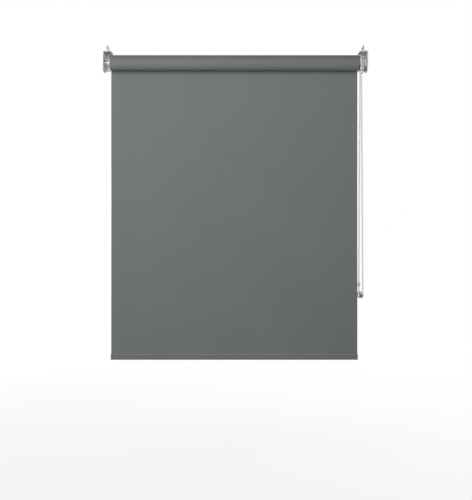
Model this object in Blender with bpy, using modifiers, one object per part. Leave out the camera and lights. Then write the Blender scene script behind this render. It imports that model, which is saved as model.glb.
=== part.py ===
"""A chain-operated roller blind, modelled lowered, in metres with +Z up.

The origin is midway between the brackets, on the plane of the top faces of their feet, above the roller's
axis. +X points to the end with the chain, and -Y to the room. The fabric leaves the back of the roll.
Every turned piece of the head lies on the roller's axis, which runs along X at height AXIS_Z.
"""

import math

import bmesh
import bpy
from mathutils import Matrix, Vector

# ---------------------------------------------------------------- overall sizes
OVERALL_WIDTH = 0.600  # outer face to outer face of the brackets
PIN_END_DEDUCTION = 0.015  # bracket face to fabric edge, idle end
CHAIN_END_DEDUCTION = 0.020  # bracket face to fabric edge, chain end
AXIS_DROP = 0.025  # mounting plane to roller axis
LOWERED_DROP = 0.679  # roller axis to the bottom of the hem
RUNNING_GAP = 0.0003  # gap kept between touching pieces
LOOSE_GAP = 0.0004  # gap round a piece that turns or slides
OVERCUT = 0.002  # how far a cutter runs past the face that it opens
BITE = 0.0005  # how far a rib, dog or plate runs into the piece that it belongs to
CHAMFER = 0.0004  # turned edge

# ---------------------------------------------------------------- roller and fabric
TUBE_OUTER_R = 0.0125
TUBE_WALL = 0.0008
FABRIC_THICKNESS = 0.0004
WINDING_R = 0.01725  # middle of the fabric where it leaves the roll
ROLL_SEGMENTS = 56

# ---------------------------------------------------------------- hem
HEM_HEIGHT = 0.0135
HEM_BAR_HEIGHT = 0.0100
HEM_BAR_THICKNESS = 0.0036
HEM_CAP_PLATE = 0.0008
HEM_CAP_TONGUE = 0.0040

# ---------------------------------------------------------------- brackets
BRACKET_THICKNESS = 0.0018
BRACKET_FOOT = 0.018  # width of the foot and of the rear flange
BRACKET_FRONT = 0.0205  # axis to the arm's front edge, and the radius of its lower front corner
BRACKET_REAR = 0.027  # axis to the outer face of the rear flange
BRACKET_CORNER_R = 0.004
BRACKET_EDGE_BEVEL = 0.00035
FOOT_SCREW_SPACING = 0.026
FLANGE_HOLE_SPACING = 0.020
SCREW_HOLE_R = 0.0020

# ---------------------------------------------------------------- screws
SCREW_SHANK_R = 0.0015
SCREW_LENGTH = 0.016
SCREW_TIP = 0.0035
SCREW_HEAD_R = 0.0033
SCREW_HEAD_HEIGHT = 0.0021
SCREW_HEAD_DOME = ((1.0, 0.62), (0.72, 0.90), (0.35, 1.0))  # shares of its height and radius, crown first
SCREW_RECESS_SPAN = 0.55  # share of the head's radius
SCREW_RECESS_WIDTH = 0.0008
SCREW_RECESS_DEPTH = 0.0011

# ---------------------------------------------------------------- bead chain and its wheel
BEAD_PITCH = 0.006
BEAD_R = 0.00225
BEAD_SHOULDER = (0.75, 0.66)  # a point on a bead's outline, in shares of its radius along and across
THREAD_R = 0.0007
POCKETS = 12
POCKET_GAP = 0.00035
WHEEL_HALF_WIDTH = 0.0037
WHEEL_RIM_R = 0.0122  # tips of the teeth between the pockets
WHEEL_FLANGE_R = 0.0134
WHEEL_FLANGE = 0.0008
WHEEL_SLOT_HALF = 0.0012  # half width of the slot that the thread runs in
WHEEL_SLOT_R = 0.0104
WHEEL_TO_FABRIC = 0.0018  # fabric edge to the wheel's near side

# The chain's loop, from the chain's plane, the axis and the axis height: from the wheel's top forwards,
# down the front, round the tidy, up the back and over the wheel to where it began.
CHAIN_ROUTE = [
    (0.0, -0.0003, 0.01159),
    (0.0, -0.00444, 0.01071),
    (0.0, -0.0082, 0.0082),
    (0.0, -0.01071, 0.00444),
    (0.0, -0.01159, 0.0),
    (0.00005, -0.01141, -0.005),
    (0.00021, -0.01085, -0.020),
    (0.00100, -0.00808, -0.095),
    (0.00238, -0.00328, -0.225),
    (0.00375, 0.00152, -0.355),
    (0.00501, 0.00595, -0.475),
    (0.00544, 0.00743, -0.515),
    (0.00555, 0.00782, -0.5255),
    (0.0056, 0.0080, -0.5305),
    (0.00425, 0.0080, -0.53375),
    (0.0010, 0.0080, -0.5351),
    (-0.00225, 0.0080, -0.53375),
    (-0.0036, 0.0080, -0.5305),
    (-0.00357, 0.00803, -0.5255),
    (-0.00349, 0.00810, -0.515),
    (-0.00322, 0.00838, -0.475),
    (-0.00241, 0.00919, -0.355),
    (-0.00153, 0.01007, -0.225),
    (-0.00064, 0.01095, -0.095),
    (-0.00014, 0.01145, -0.020),
    (-0.00003, 0.01156, -0.005),
    (0.0, 0.01159, 0.0),
    (0.0, 0.01071, 0.00444),
    (0.0, 0.0082, 0.0082),
    (0.0, 0.00444, 0.01071),
    (0.0, 0.0003, 0.01159),
]
FRONT_STRAND = (CHAIN_ROUTE[4], CHAIN_ROUTE[13])  # the straight runs' ends
REAR_STRAND = (CHAIN_ROUTE[26], CHAIN_ROUTE[17])
PATH_STEP = 0.0005
TUBE_SHOULDER = 0.0003
TURN_REACH = 0.0100  # half the length of chain that goes round the tidy
TURN_STEP = 0.0020
BEADS_SHOWN = 5  # beads shaped one by one at each end of the route, where the wheel's teeth are
RUN_STATIONS = 9  # tube sections along each straight run
TURN_STATIONS = 8  # and round the tidy

# ---------------------------------------------------------------- pieces on the chain
STOP_BALL_R = 0.00475
STOP_BALL_SEAM = 0.0003
CONNECTOR_WALL = 0.0007
CONNECTOR_LENGTH = 0.011
CONNECTOR_TAPER = 0.0012  # length of the chamfer at each end
CONNECTOR_DROP = 0.505  # axis to the connector's middle
CHAIN_BORE_GAP = 0.00035

# ---------------------------------------------------------------- chain guard
GUARD_CLEARANCE = 0.00105  # beads on the wheel to the guard's wall
GUARD_WALL = 0.0012
GUARD_CORNER = 0.0022
GUARD_MOUTH_DROP = 0.0160  # axis to the inside of the guard's floor
GUARD_WINDOW_TOP = 0.0105
GUARD_WINDOW_BOTTOM = -0.0125
GUARD_PORT_GAP = 0.00085
GUARD_SIDE_GAP = 0.0005  # wheel to the guard's side

# ---------------------------------------------------------------- hub that the wheel and roller turn on
CORE_R = 0.0050
CORE_BASE_R = 0.0100
CORE_KEY = 0.0090  # side of the square key in the bracket
CORE_LENGTH = 0.0345  # fabric edge to the core's tip
CLIP_THICKNESS = 0.0008
CLIP_RIM = 0.0020  # how far the clip stands out from the core
CLIP_GROOVE_DEPTH = 0.0010
CLIP_OPENING = math.radians(70)
LATCH_WIDTH = 0.0046
LATCH_REACH = 0.0036
LATCH_ROOT = 0.0020  # how far the latch runs into the hub's round base
LATCH_RISE = 0.0012  # axis to the latch's underside
LATCH_INSET = 0.0004

# ---------------------------------------------------------------- brake springs and drive
SPRING_WIRE_R = 0.0004
SPRING_TURNS = 4.5
SPRING_PITCH = 0.0012
SPRING_STARTS = (0.0230, 0.0100)  # fabric edge to the far end of each coil
SPRING_CORE_GAP = 0.00035
SPRING_LEG_GAP = 0.00085  # end of a leg to the drive's bore
DRIVE_LENGTH = 0.0305  # fabric edge to the drive insert's inner end
DRIVE_WALL = 0.0015
DRIVE_FLANGE = 0.0011
DOG_SPRING_GAP = 0.00045
DOG_THICKNESS = 0.0015
DOG_ANGLE = math.radians(120)
DOG_LEAD = 0.0015  # how far the wheel's dog reaches past the farther spring
DOG_SETBACK = 0.0010  # fabric edge to the insert's dog
INSERT_END_WALL = 0.0020
RIBS = 6
RIB_WIDTH = 0.0030
RIM_INSET = 0.0001  # flanges and ribs stay this far inside the tube's radii

# ---------------------------------------------------------------- idle end
PLUG_LENGTH = 0.0400
PLUG_FLANGE = 0.0015
PLUG_FRONT_WALL = 0.0026
PLUG_BACK_WALL = 0.0020
PLUG_CHAMBER_R = 0.0047
PLUG_BODY_R = 0.0102
PIN_R = 0.0025
PIN_COLLAR_R = 0.0042
PIN_COLLAR = 0.0015
PIN_TAIL_R = 0.0016
PIN_TAIL = 0.0190
PIN_SPRING_R = 0.0034
PIN_SPRING_WIRE_R = 0.00028
PIN_SPRING_TURNS = 9
VENT_R = 0.0012

# ---------------------------------------------------------------- chain tidy
TIDY_TURN_R = 0.0046  # middle of the chain round the boss
TIDY_FLANGE_R = 0.0037
TIDY_FLANGE = 0.0010
TIDY_PLATE_R = 0.0070
TIDY_PLATE = 0.0013
TIDY_POINT = 0.0115  # boss centre to where the plate's sides would meet
TIDY_TIP_HALF = 0.0008  # half the width of its blunt tip
TIDY_TIP_CUT = 0.0012  # what the blunt tip leaves off
TIDY_STEM_R = 0.0034
TIDY_FOOT_R = 0.0075
TIDY_FOOT = 0.0020
TIDY_SCREW_R = 0.0012
TIDY_SCREW_GRIP = 0.012  # length of screw beyond the tidy's foot

# ---------------------------------------------------------------- places worked out from the sizes
AXIS_Z = -AXIS_DROP
HALF_WIDTH = OVERALL_WIDTH / 2
FABRIC_LEFT = -HALF_WIDTH + PIN_END_DEDUCTION
FABRIC_RIGHT = HALF_WIDTH - CHAIN_END_DEDUCTION
TUBE_INNER_R = TUBE_OUTER_R - TUBE_WALL
RIB_R = TUBE_INNER_R - RUNNING_GAP
ROLL_R = WINDING_R - FABRIC_THICKNESS / 2 - RUNNING_GAP
HEM_BOTTOM = AXIS_Z - LOWERED_DROP
CHAIN_X = FABRIC_RIGHT + WHEEL_TO_FABRIC + WHEEL_HALF_WIDTH
PITCH_R = BEAD_PITCH / (2 * math.sin(math.pi / POCKETS))
CONNECTOR_R = BEAD_R + CHAIN_BORE_GAP + CONNECTOR_WALL
SPRING_MEAN_R = CORE_R + SPRING_CORE_GAP + SPRING_WIRE_R
DOG_INNER_R = SPRING_MEAN_R + SPRING_WIRE_R + DOG_SPRING_GAP
DRIVE_INNER_R = DOG_INNER_R + DOG_THICKNESS + LOOSE_GAP
GUARD_INNER_R = PITCH_R + BEAD_R + GUARD_CLEARANCE
GUARD_OUTER_R = GUARD_INNER_R + GUARD_WALL
GUARD_FLOOR = GUARD_MOUTH_DROP + GUARD_WALL
GUARD_PLATE_X = CHAIN_X + WHEEL_HALF_WIDTH + GUARD_SIDE_GAP
CHAIN_ORIGIN = Vector((CHAIN_X, 0.0, AXIS_Z))
TIDY_CENTRE = CHAIN_ORIGIN + (Vector(FRONT_STRAND[1]) + Vector(REAR_STRAND[1])) / 2

# Turns that carry a piece's own Z onto an axis of the blind.
ALONG_X = Matrix.Rotation(math.pi / 2, 4, "Y")
ALONG_Y = Matrix.Rotation(-math.pi / 2, 4, "X")
ON_AXIS = Matrix.Translation((0.0, 0.0, AXIS_Z)) @ ALONG_X
# A flat outline's own x and y onto Y and Z, with its thickness along X from the axis height.
SIDE_VIEW = Matrix.Translation((0.0, 0.0, AXIS_Z)) @ Matrix(
    ((0, 0, 1, 0), (1, 0, 0, 0), (0, 1, 0, 0), (0, 0, 0, 1))
)


# ---------------------------------------------------------------- scene and materials
def clear_scene():
    for obj in list(bpy.data.objects):
        bpy.data.objects.remove(obj, do_unlink=True)


def new_collection(name):
    group = bpy.data.collections.new(name)
    bpy.context.scene.collection.children.link(group)
    return group


def new_material(name, colour, roughness, metallic=0.0):
    made = bpy.data.materials.new(name)
    made.use_nodes = True
    shader = made.node_tree.nodes["Principled BSDF"]
    shader.inputs["Base Color"].default_value = (*colour, 1.0)
    shader.inputs["Roughness"].default_value = roughness
    shader.inputs["Metallic"].default_value = metallic
    return made


clear_scene()
BLIND = new_collection("roller_blind")
CUTTERS = new_collection("cutters")
FABRIC = new_material("grey_fabric", (0.160, 0.174, 0.178), 0.85)
WHITE = new_material("white_plastic", (0.78, 0.78, 0.76), 0.42)
BRACKET_STEEL = new_material("coated_steel", (0.62, 0.62, 0.61), 0.45, 0.1)
ZINC = new_material("zinc_steel", (0.55, 0.55, 0.54), 0.35, 1.0)
SPRING_STEEL = new_material("spring_steel", (0.42, 0.42, 0.43), 0.30, 1.0)
ALUMINIUM = new_material("aluminium", (0.72, 0.73, 0.74), 0.32, 1.0)
CLEAR = new_material("clear_plastic", (0.80, 0.82, 0.82), 0.25)


# ---------------------------------------------------------------- modelling helpers
def add_object(name, mesh, surface, place=Matrix.Identity(4)):
    """An object of the blind, or a cutter where it has no surface."""
    obj = bpy.data.objects.new(name, mesh)
    obj.matrix_world = place
    if surface is None:
        CUTTERS.objects.link(obj)
        obj.hide_render = True
        obj.display_type = "WIRE"
    else:
        BLIND.objects.link(obj)
        obj.data.materials.append(surface)
    return obj


def turned(name, profile, surface, place=ON_AXIS, steps=28):
    """A profile of (axial, radius) points turned about its axis.

    A profile that starts and ends on the axis is open there; any other one is a closed ring.
    """
    points = [Vector((radius, 0.0, axial)) for axial, radius in profile]
    solid = profile[0][1] == 0.0 and profile[-1][1] == 0.0
    area = sum(a.x * b.z - b.x * a.z for a, b in zip(points, points[1:] + points[:1]))
    if area > 0:
        points.reverse()
    mesh = bpy.data.meshes.new(name)
    count = len(points)
    edges = [(i, (i + 1) % count) for i in range(count - 1 if solid else count)]
    mesh.from_pydata(points, edges, [])
    obj = add_object(name, mesh, surface, place)
    screw = obj.modifiers.new("turn", "SCREW")
    screw.steps = screw.render_steps = steps
    screw.use_merge_vertices = True
    screw.merge_threshold = 0.00001
    return obj


def evaluated_mesh(obj):
    """The object's mesh with its modifiers, in its own axes, with doubled points welded."""
    bpy.context.view_layer.update()
    graph = bpy.context.evaluated_depsgraph_get()
    mesh = bpy.data.meshes.new_from_object(obj.evaluated_get(graph))
    bm = bmesh.new()
    bm.from_mesh(mesh)
    bmesh.ops.remove_doubles(bm, verts=bm.verts, dist=0.000001)
    bm.to_mesh(mesh)
    bm.free()
    return mesh


def curve_object(name, dimensions):
    curve = bpy.data.curves.new(name, "CURVE")
    curve.dimensions = dimensions
    obj = bpy.data.objects.new(name, curve)
    CUTTERS.objects.link(obj)
    return obj


def add_spline(curve, points, closed):
    spline = curve.splines.new("POLY")
    spline.points.add(len(points) - 1)
    for point, co in zip(spline.points, points):
        point.co = (*co, 1.0)
    spline.use_cyclic_u = closed
    return spline


def plate(name, loops, low, high, surface, place=SIDE_VIEW):
    """Flat outlines, the first one outside and the others holes, extruded from low to high."""
    guide = curve_object(name + "_outline", "2D")
    guide.data.fill_mode = "BOTH"
    guide.data.extrude = (high - low) / 2
    for loop in loops:
        add_spline(guide.data, [(x, y, 0.0) for x, y in loop], True)
    mesh = evaluated_mesh(guide)
    mesh.name = name
    mesh.transform(Matrix.Translation((0.0, 0.0, (low + high) / 2)))
    bpy.data.objects.remove(guide, do_unlink=True)
    return add_object(name, mesh, surface, place)


def box(name, low, high, surface):
    """A box between two corners in the blind's axes."""
    low, high = Vector(low), Vector(high)
    size = high - low
    bm = bmesh.new()
    bmesh.ops.create_cube(bm, size=1.0)
    bmesh.ops.scale(bm, vec=size, verts=bm.verts)
    bmesh.ops.translate(bm, vec=(low + high) / 2, verts=bm.verts)
    mesh = bpy.data.meshes.new(name)
    bm.to_mesh(mesh)
    bm.free()
    return add_object(name, mesh, surface)


def rod(name, radius, start, end, surface=None, segments=16):
    """A round bar from one point to another in the blind's axes."""
    start, end = Vector(start), Vector(end)
    bm = bmesh.new()
    bmesh.ops.create_cone(
        bm,
        cap_ends=True,
        segments=segments,
        radius1=radius,
        radius2=radius,
        depth=(end - start).length,
    )
    mesh = bpy.data.meshes.new(name)
    bm.to_mesh(mesh)
    bm.free()
    turn = Vector((0, 0, 1)).rotation_difference(end - start).to_matrix().to_4x4()
    return add_object(name, mesh, surface, Matrix.Translation((start + end) / 2) @ turn)


def wire(name, points, radius, surface, resolution=1, radii=None):
    """A round wire or tube along points, with filled ends."""
    guide = curve_object(name + "_path", "3D")
    guide.data.bevel_depth = radius
    guide.data.bevel_resolution = resolution
    guide.data.use_fill_caps = True
    guide.data.twist_mode = "MINIMUM"
    spline = add_spline(guide.data, points, False)
    for point, share in zip(spline.points, radii or []):
        point.radius = share
    mesh = evaluated_mesh(guide)
    mesh.name = name
    bpy.data.objects.remove(guide, do_unlink=True)
    return add_object(name, mesh, surface)


def apply_boolean(obj, tool, operation):
    modifier = obj.modifiers.new(tool.name, "BOOLEAN")
    modifier.operation = operation
    modifier.object = tool


def cut(obj, tool):
    apply_boolean(obj, tool, "DIFFERENCE")


def join(obj, tool):
    apply_boolean(obj, tool, "UNION")


def soften(obj, width, angle=40):
    """Small rounded edges wherever two faces meet at more than angle degrees."""
    bevel = obj.modifiers.new("edges", "BEVEL")
    bevel.width = width
    bevel.segments = 1
    bevel.limit_method = "ANGLE"
    bevel.angle_limit = math.radians(angle)


def arc(centre, radius, start, end, steps):
    """Points on an arc, with angles in degrees."""
    angles = [math.radians(start + (end - start) * i / steps) for i in range(steps + 1)]
    return [
        (centre[0] + radius * math.cos(a), centre[1] + radius * math.sin(a))
        for a in angles
    ]


def circle(radius, steps=24):
    """Points round a circle, with none repeated."""
    return arc((0, 0), radius, 0, 360 - 360 / steps, steps - 1)


def sector(inner, outer, middle, spread, steps=10):
    """A piece of a flat ring, as one outline."""
    low, high = math.degrees(middle - spread / 2), math.degrees(middle + spread / 2)
    return arc((0, 0), outer, low, high, steps) + arc((0, 0), inner, high, low, steps)


def on_strand(strand, drop):
    """The point of a straight run of the chain at a distance below the axis."""
    top, bottom = (CHAIN_ORIGIN + Vector(p) for p in strand)
    share = (AXIS_Z - drop - top.z) / (bottom.z - top.z)
    return top.lerp(bottom, share)


def strand_frame(strand, drop):
    """A place on a straight run of the chain, with its own Z up along the run."""
    top, bottom = (Vector(p) for p in strand)
    turn = Vector((0, 0, 1)).rotation_difference(top - bottom).to_matrix().to_4x4()
    return Matrix.Translation(on_strand(strand, drop)) @ turn


# ---------------------------------------------------------------- screws
def screw(name, place, grip, shank_r=SCREW_SHANK_R):
    """A pan-head screw, its head below its own origin and its shank along its own +Z."""
    tip = grip - SCREW_TIP
    dome = [(-SCREW_HEAD_HEIGHT * up, SCREW_HEAD_R * out) for up, out in SCREW_HEAD_DOME]
    profile = [
        (-SCREW_HEAD_HEIGHT, 0.0),
        *dome,
        (0.0, SCREW_HEAD_R),
        (0.0, shank_r),
        (tip, shank_r),
        (grip, 0.0),
    ]
    made = turned(name, profile, ZINC, place, steps=14)
    half = SCREW_RECESS_WIDTH / 2
    arm = SCREW_HEAD_R * SCREW_RECESS_SPAN
    for index, (x, y) in enumerate(((arm, half), (half, arm))):
        slot = box(
            f"{name}_recess_{index}",
            (-x, -y, -SCREW_HEAD_HEIGHT - OVERCUT),
            (x, y, -SCREW_HEAD_HEIGHT + SCREW_RECESS_DEPTH),
            None,
        )
        slot.matrix_world = place
        cut(made, slot)
    return made


# ---------------------------------------------------------------- brackets
def bracket(name, side):
    """An arm beside the roller's end, with a foot on top and a flange behind. side is -1 or 1."""
    arm_outer = side * HALF_WIDTH
    arm_inner = side * (HALF_WIDTH - BRACKET_THICKNESS)
    foot_inner = side * (HALF_WIDTH - BRACKET_FOOT)
    bottom = -BRACKET_FRONT
    corner = BRACKET_CORNER_R
    outline = (
        [(-BRACKET_FRONT, AXIS_DROP)]
        + arc((0, 0), BRACKET_FRONT, 180, 270, 12)
        + arc((BRACKET_REAR - corner, bottom + corner), corner, 270, 360, 5)
        + [(BRACKET_REAR, AXIS_DROP)]
    )
    made = plate(name, [outline], *sorted((arm_outer, arm_inner)), BRACKET_STEEL)
    foot_low, foot_high = sorted((foot_inner, arm_outer))
    foot_outline = [
        (arm_outer, -BRACKET_FRONT),
        (arm_outer, BRACKET_REAR),
        (foot_inner, BRACKET_REAR),
        (foot_inner, -BRACKET_FRONT + corner),
        (foot_inner + side * corner, -BRACKET_FRONT),
    ]
    foot = plate(
        name + "_foot", [foot_outline], -BRACKET_THICKNESS, 0.0, None, Matrix.Identity(4)
    )
    flange = box(
        name + "_flange",
        (foot_low, BRACKET_REAR - BRACKET_THICKNESS, AXIS_Z - BRACKET_FRONT + corner),
        (foot_high, BRACKET_REAR, 0.0),
        None,
    )
    join(made, foot)
    join(made, flange)
    hole_x = (arm_inner + foot_inner) / 2
    for index, sign in enumerate((-1, 1)):
        y = sign * FOOT_SCREW_SPACING / 2
        above = (hole_x, y, OVERCUT)
        below = (hole_x, y, -BRACKET_THICKNESS - OVERCUT)
        cut(made, rod(f"{name}_foot_hole_{index}", SCREW_HOLE_R, above, below))
        z = AXIS_Z + sign * FLANGE_HOLE_SPACING / 2
        before = (hole_x, BRACKET_REAR - BRACKET_THICKNESS - OVERCUT, z)
        behind = (hole_x, BRACKET_REAR + OVERCUT, z)
        cut(made, rod(f"{name}_flange_hole_{index}", SCREW_HOLE_R, before, behind))
    return made


def left_bracket():
    made = bracket("left_bracket", -1)
    outside = (-HALF_WIDTH - OVERCUT, 0.0, AXIS_Z)
    inside = (-HALF_WIDTH + BRACKET_THICKNESS + OVERCUT, 0.0, AXIS_Z)
    cut(made, rod("pin_hole", PIN_R + LOOSE_GAP, outside, inside))
    soften(made, BRACKET_EDGE_BEVEL)


def right_bracket():
    made = bracket("right_bracket", 1)
    half = CORE_KEY / 2 + RUNNING_GAP
    cut(
        made,
        box(
            "key_hole",
            (HALF_WIDTH - BRACKET_THICKNESS - OVERCUT, -half, AXIS_Z - half),
            (HALF_WIDTH + OVERCUT, half, AXIS_Z + half),
            None,
        ),
    )
    soften(made, BRACKET_EDGE_BEVEL)


def bracket_screws():
    seat = -BRACKET_THICKNESS - RUNNING_GAP
    inset = (BRACKET_FOOT + BRACKET_THICKNESS) / 2
    for side_name, side in (("left", -1), ("right", 1)):
        for end_name, sign in (("front", -1), ("rear", 1)):
            place = (side * (HALF_WIDTH - inset), sign * FOOT_SCREW_SPACING / 2, seat)
            screw(f"{side_name}_{end_name}_screw", Matrix.Translation(place), SCREW_LENGTH)


# ---------------------------------------------------------------- hub, guard and clip
def hub_core():
    base_low = GUARD_PLATE_X + GUARD_WALL + RUNNING_GAP
    base_high = HALF_WIDTH - BRACKET_THICKNESS - RUNNING_GAP
    tip = FABRIC_RIGHT - CORE_LENGTH
    groove_low = FABRIC_RIGHT - DRIVE_LENGTH - RUNNING_GAP - CLIP_THICKNESS - 2 * RUNNING_GAP
    groove_high = groove_low + CLIP_THICKNESS + 2 * RUNNING_GAP
    profile = [
        (tip, 0.0),
        (tip, CORE_R - CHAMFER),
        (tip + CHAMFER, CORE_R),
        (groove_low, CORE_R),
        (groove_low, CORE_R - CLIP_GROOVE_DEPTH),
        (groove_high, CORE_R - CLIP_GROOVE_DEPTH),
        (groove_high, CORE_R),
        (base_low, CORE_R),
        (base_low, CORE_BASE_R),
        (base_high, CORE_BASE_R),
        (base_high, 0.0),
    ]
    made = turned("hub_core", profile, WHITE)
    half = CORE_KEY / 2
    key = box(
        "core_key",
        (base_high - BITE, -half, AXIS_Z - half),
        (HALF_WIDTH - RUNNING_GAP, half, AXIS_Z + half),
        None,
    )
    latch_low = (base_low + LATCH_INSET, -CORE_BASE_R - LATCH_REACH, AXIS_Z + LATCH_RISE)
    latch_high = (
        base_low + LATCH_INSET + LATCH_WIDTH,
        -CORE_BASE_R + LATCH_ROOT,
        AXIS_Z + LATCH_RISE + LATCH_WIDTH,
    )
    latch = box("core_latch", latch_low, latch_high, None)
    join(made, key)
    join(made, latch)


def arch(radius, floor, corner):
    """A round-topped outline about the axis with straight sides down to its floor."""
    left = arc((corner - radius, corner - floor), corner, 180, 270, 4)
    right = arc((radius - corner, corner - floor), corner, 270, 360, 4)
    return arc((0, 0), radius, 0, 180, 20) + left + right


def chain_guard():
    low = CHAIN_X - WHEEL_HALF_WIDTH
    high = GUARD_PLATE_X + GUARD_WALL
    outer = arch(GUARD_OUTER_R, GUARD_FLOOR, GUARD_CORNER)
    inner = arch(GUARD_INNER_R, GUARD_MOUTH_DROP, GUARD_CORNER - GUARD_WALL)
    made = plate("chain_guard", [outer, inner], low, high, WHITE)
    bore = circle(CORE_R + RUNNING_GAP)
    half = GUARD_WALL / 2
    inside = arch(GUARD_INNER_R + half, GUARD_MOUTH_DROP + half, GUARD_CORNER - half)
    join(made, plate("guard_side", [inside, bore], GUARD_PLATE_X, high, None))
    wall_at_top = -math.sqrt(GUARD_INNER_R**2 - GUARD_WINDOW_TOP**2)
    window = box(
        "guard_window",
        (low - OVERCUT, -GUARD_OUTER_R - OVERCUT, AXIS_Z + GUARD_WINDOW_BOTTOM),
        (GUARD_PLATE_X, wall_at_top + BITE, AXIS_Z + GUARD_WINDOW_TOP),
        None,
    )
    cut(made, window)
    for name, strand in (("front", FRONT_STRAND), ("rear", REAR_STRAND)):
        above = on_strand(strand, GUARD_MOUTH_DROP - OVERCUT)
        below = on_strand(strand, GUARD_FLOOR + OVERCUT)
        cut(made, rod(f"guard_port_{name}", BEAD_R + GUARD_PORT_GAP, above, below))


def retaining_clip():
    high = FABRIC_RIGHT - DRIVE_LENGTH - 2 * RUNNING_GAP
    spread = 2 * math.pi - CLIP_OPENING
    inner = CORE_R - CLIP_GROOVE_DEPTH + RUNNING_GAP
    ring = sector(inner, CORE_R + CLIP_RIM, math.pi / 2, spread, 20)
    plate("retaining_clip", [ring], high - CLIP_THICKNESS, high, SPRING_STEEL)


# ---------------------------------------------------------------- wheel, springs and drive insert
def pocket_cutter():
    """Twelve round-ended holes, one in each pocket, as one cutter of separate bodies."""
    radius = BEAD_R + POCKET_GAP
    quarter = arc((0, 0), radius, -90, 0, 3)
    top = WHEEL_FLANGE_R - PITCH_R + OVERCUT
    profile = [(y, x) for x, y in quarter] + [(top, radius), (top, 0.0)]
    profile[0] = (-radius, 0.0)
    shape = turned("pocket_shape", profile, None, Matrix.Identity(4), steps=10)
    capsule = evaluated_mesh(shape)
    bpy.data.objects.remove(shape, do_unlink=True)
    bm = bmesh.new()
    for index in range(POCKETS):
        angle = 2 * math.pi * (index + 0.5) / POCKETS
        copy = capsule.copy()
        copy.transform(Matrix.Rotation(angle, 4, "X") @ Matrix.Translation((CHAIN_X, 0, PITCH_R)))
        bm.from_mesh(copy)
    mesh = bpy.data.meshes.new("pockets")
    bm.to_mesh(mesh)
    bm.free()
    return add_object("pockets", mesh, None, Matrix.Translation((0, 0, AXIS_Z)))


def chain_wheel():
    bore = CORE_R + LOOSE_GAP
    side = WHEEL_HALF_WIDTH
    inside = side - WHEEL_FLANGE
    slot = WHEEL_SLOT_HALF
    near = [
        (side, bore),
        (side, WHEEL_FLANGE_R),
        (inside, WHEEL_FLANGE_R),
        (inside, WHEEL_RIM_R),
        (slot, WHEEL_RIM_R),
        (slot, WHEEL_SLOT_R),
    ]
    far = [(-x, r) for x, r in reversed(near)]
    profile = [(CHAIN_X + x, r) for x, r in near + far]
    made = turned("chain_wheel", profile, WHITE, steps=36)
    cut(made, pocket_cutter())
    dog = sector(DOG_INNER_R, DOG_INNER_R + DOG_THICKNESS, math.pi / 2, DOG_ANGLE)
    low = FABRIC_RIGHT - SPRING_STARTS[0] - DOG_LEAD
    join(made, plate("wheel_dog", [dog], low, CHAIN_X - WHEEL_HALF_WIDTH + BITE, None))


def wrap_spring(name, start):
    """A close coil round the core, with a leg at each end that the dogs push."""
    per_turn = 10
    count = int(SPRING_TURNS * per_turn)
    points = []
    for index in range(count + 1):
        angle = 2 * math.pi * index / per_turn
        x = start + SPRING_PITCH * index / per_turn
        y = SPRING_MEAN_R * math.cos(angle)
        points.append((x, y, AXIS_Z + SPRING_MEAN_R * math.sin(angle)))
    leg_end = DRIVE_INNER_R - SPRING_LEG_GAP
    ends = []
    for x, y, z in (points[0], points[-1]):
        out = Vector((0, y, z - AXIS_Z)).normalized() * leg_end
        ends.append((x, out.y, AXIS_Z + out.z))
    points = [ends[0]] + points + [ends[1]]
    wire(name, points, SPRING_WIRE_R, SPRING_STEEL)


def ribs_on(made, low, high, root):
    """Ribs that fill the gap from a plug to the tube's bore."""
    for index in range(RIBS):
        turn = Matrix.Rotation(2 * math.pi * index / RIBS, 4, "X")
        rib = box(
            f"{made.name}_rib_{index}",
            (low, -RIB_WIDTH / 2, root - BITE),
            (high, RIB_WIDTH / 2, RIB_R - RIM_INSET),
            None,
        )
        rib.matrix_world = Matrix.Translation((0, 0, AXIS_Z)) @ turn
        join(made, rib)


def drive_insert():
    bore = CORE_R + LOOSE_GAP
    outer = DRIVE_INNER_R + DRIVE_WALL
    end = FABRIC_RIGHT - DRIVE_LENGTH
    flange_low = FABRIC_RIGHT + RUNNING_GAP
    flange_high = flange_low + DRIVE_FLANGE
    profile = [
        (flange_high, DRIVE_INNER_R),
        (flange_high, TUBE_OUTER_R - RIM_INSET),
        (flange_low, TUBE_OUTER_R - RIM_INSET),
        (flange_low, outer),
        (end, outer),
        (end, bore),
        (end + INSERT_END_WALL, bore),
        (end + INSERT_END_WALL, DRIVE_INNER_R),
    ]
    made = turned("drive_insert", profile, WHITE)
    ribs_on(made, end + BITE, flange_low + BITE, outer)
    dog = sector(DOG_INNER_R, DRIVE_INNER_R + BITE, -math.pi / 2, DOG_ANGLE)
    dog_low = end + INSERT_END_WALL - BITE
    dog_high = FABRIC_RIGHT - DOG_SETBACK
    join(made, plate("insert_dog", [dog], dog_low, dog_high, None))


# ---------------------------------------------------------------- roller
def roller_tube():
    profile = [
        (FABRIC_LEFT, TUBE_INNER_R),
        (FABRIC_LEFT, TUBE_OUTER_R),
        (FABRIC_RIGHT, TUBE_OUTER_R),
        (FABRIC_RIGHT, TUBE_INNER_R),
    ]
    turned("roller_tube", profile, ALUMINIUM, steps=40)


def fabric_roll():
    inner = TUBE_OUTER_R + RUNNING_GAP
    profile = [
        (FABRIC_LEFT, inner),
        (FABRIC_LEFT, ROLL_R),
        (FABRIC_RIGHT, ROLL_R),
        (FABRIC_RIGHT, inner),
    ]
    turned("fabric_roll", profile, FABRIC, steps=ROLL_SEGMENTS)


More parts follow.
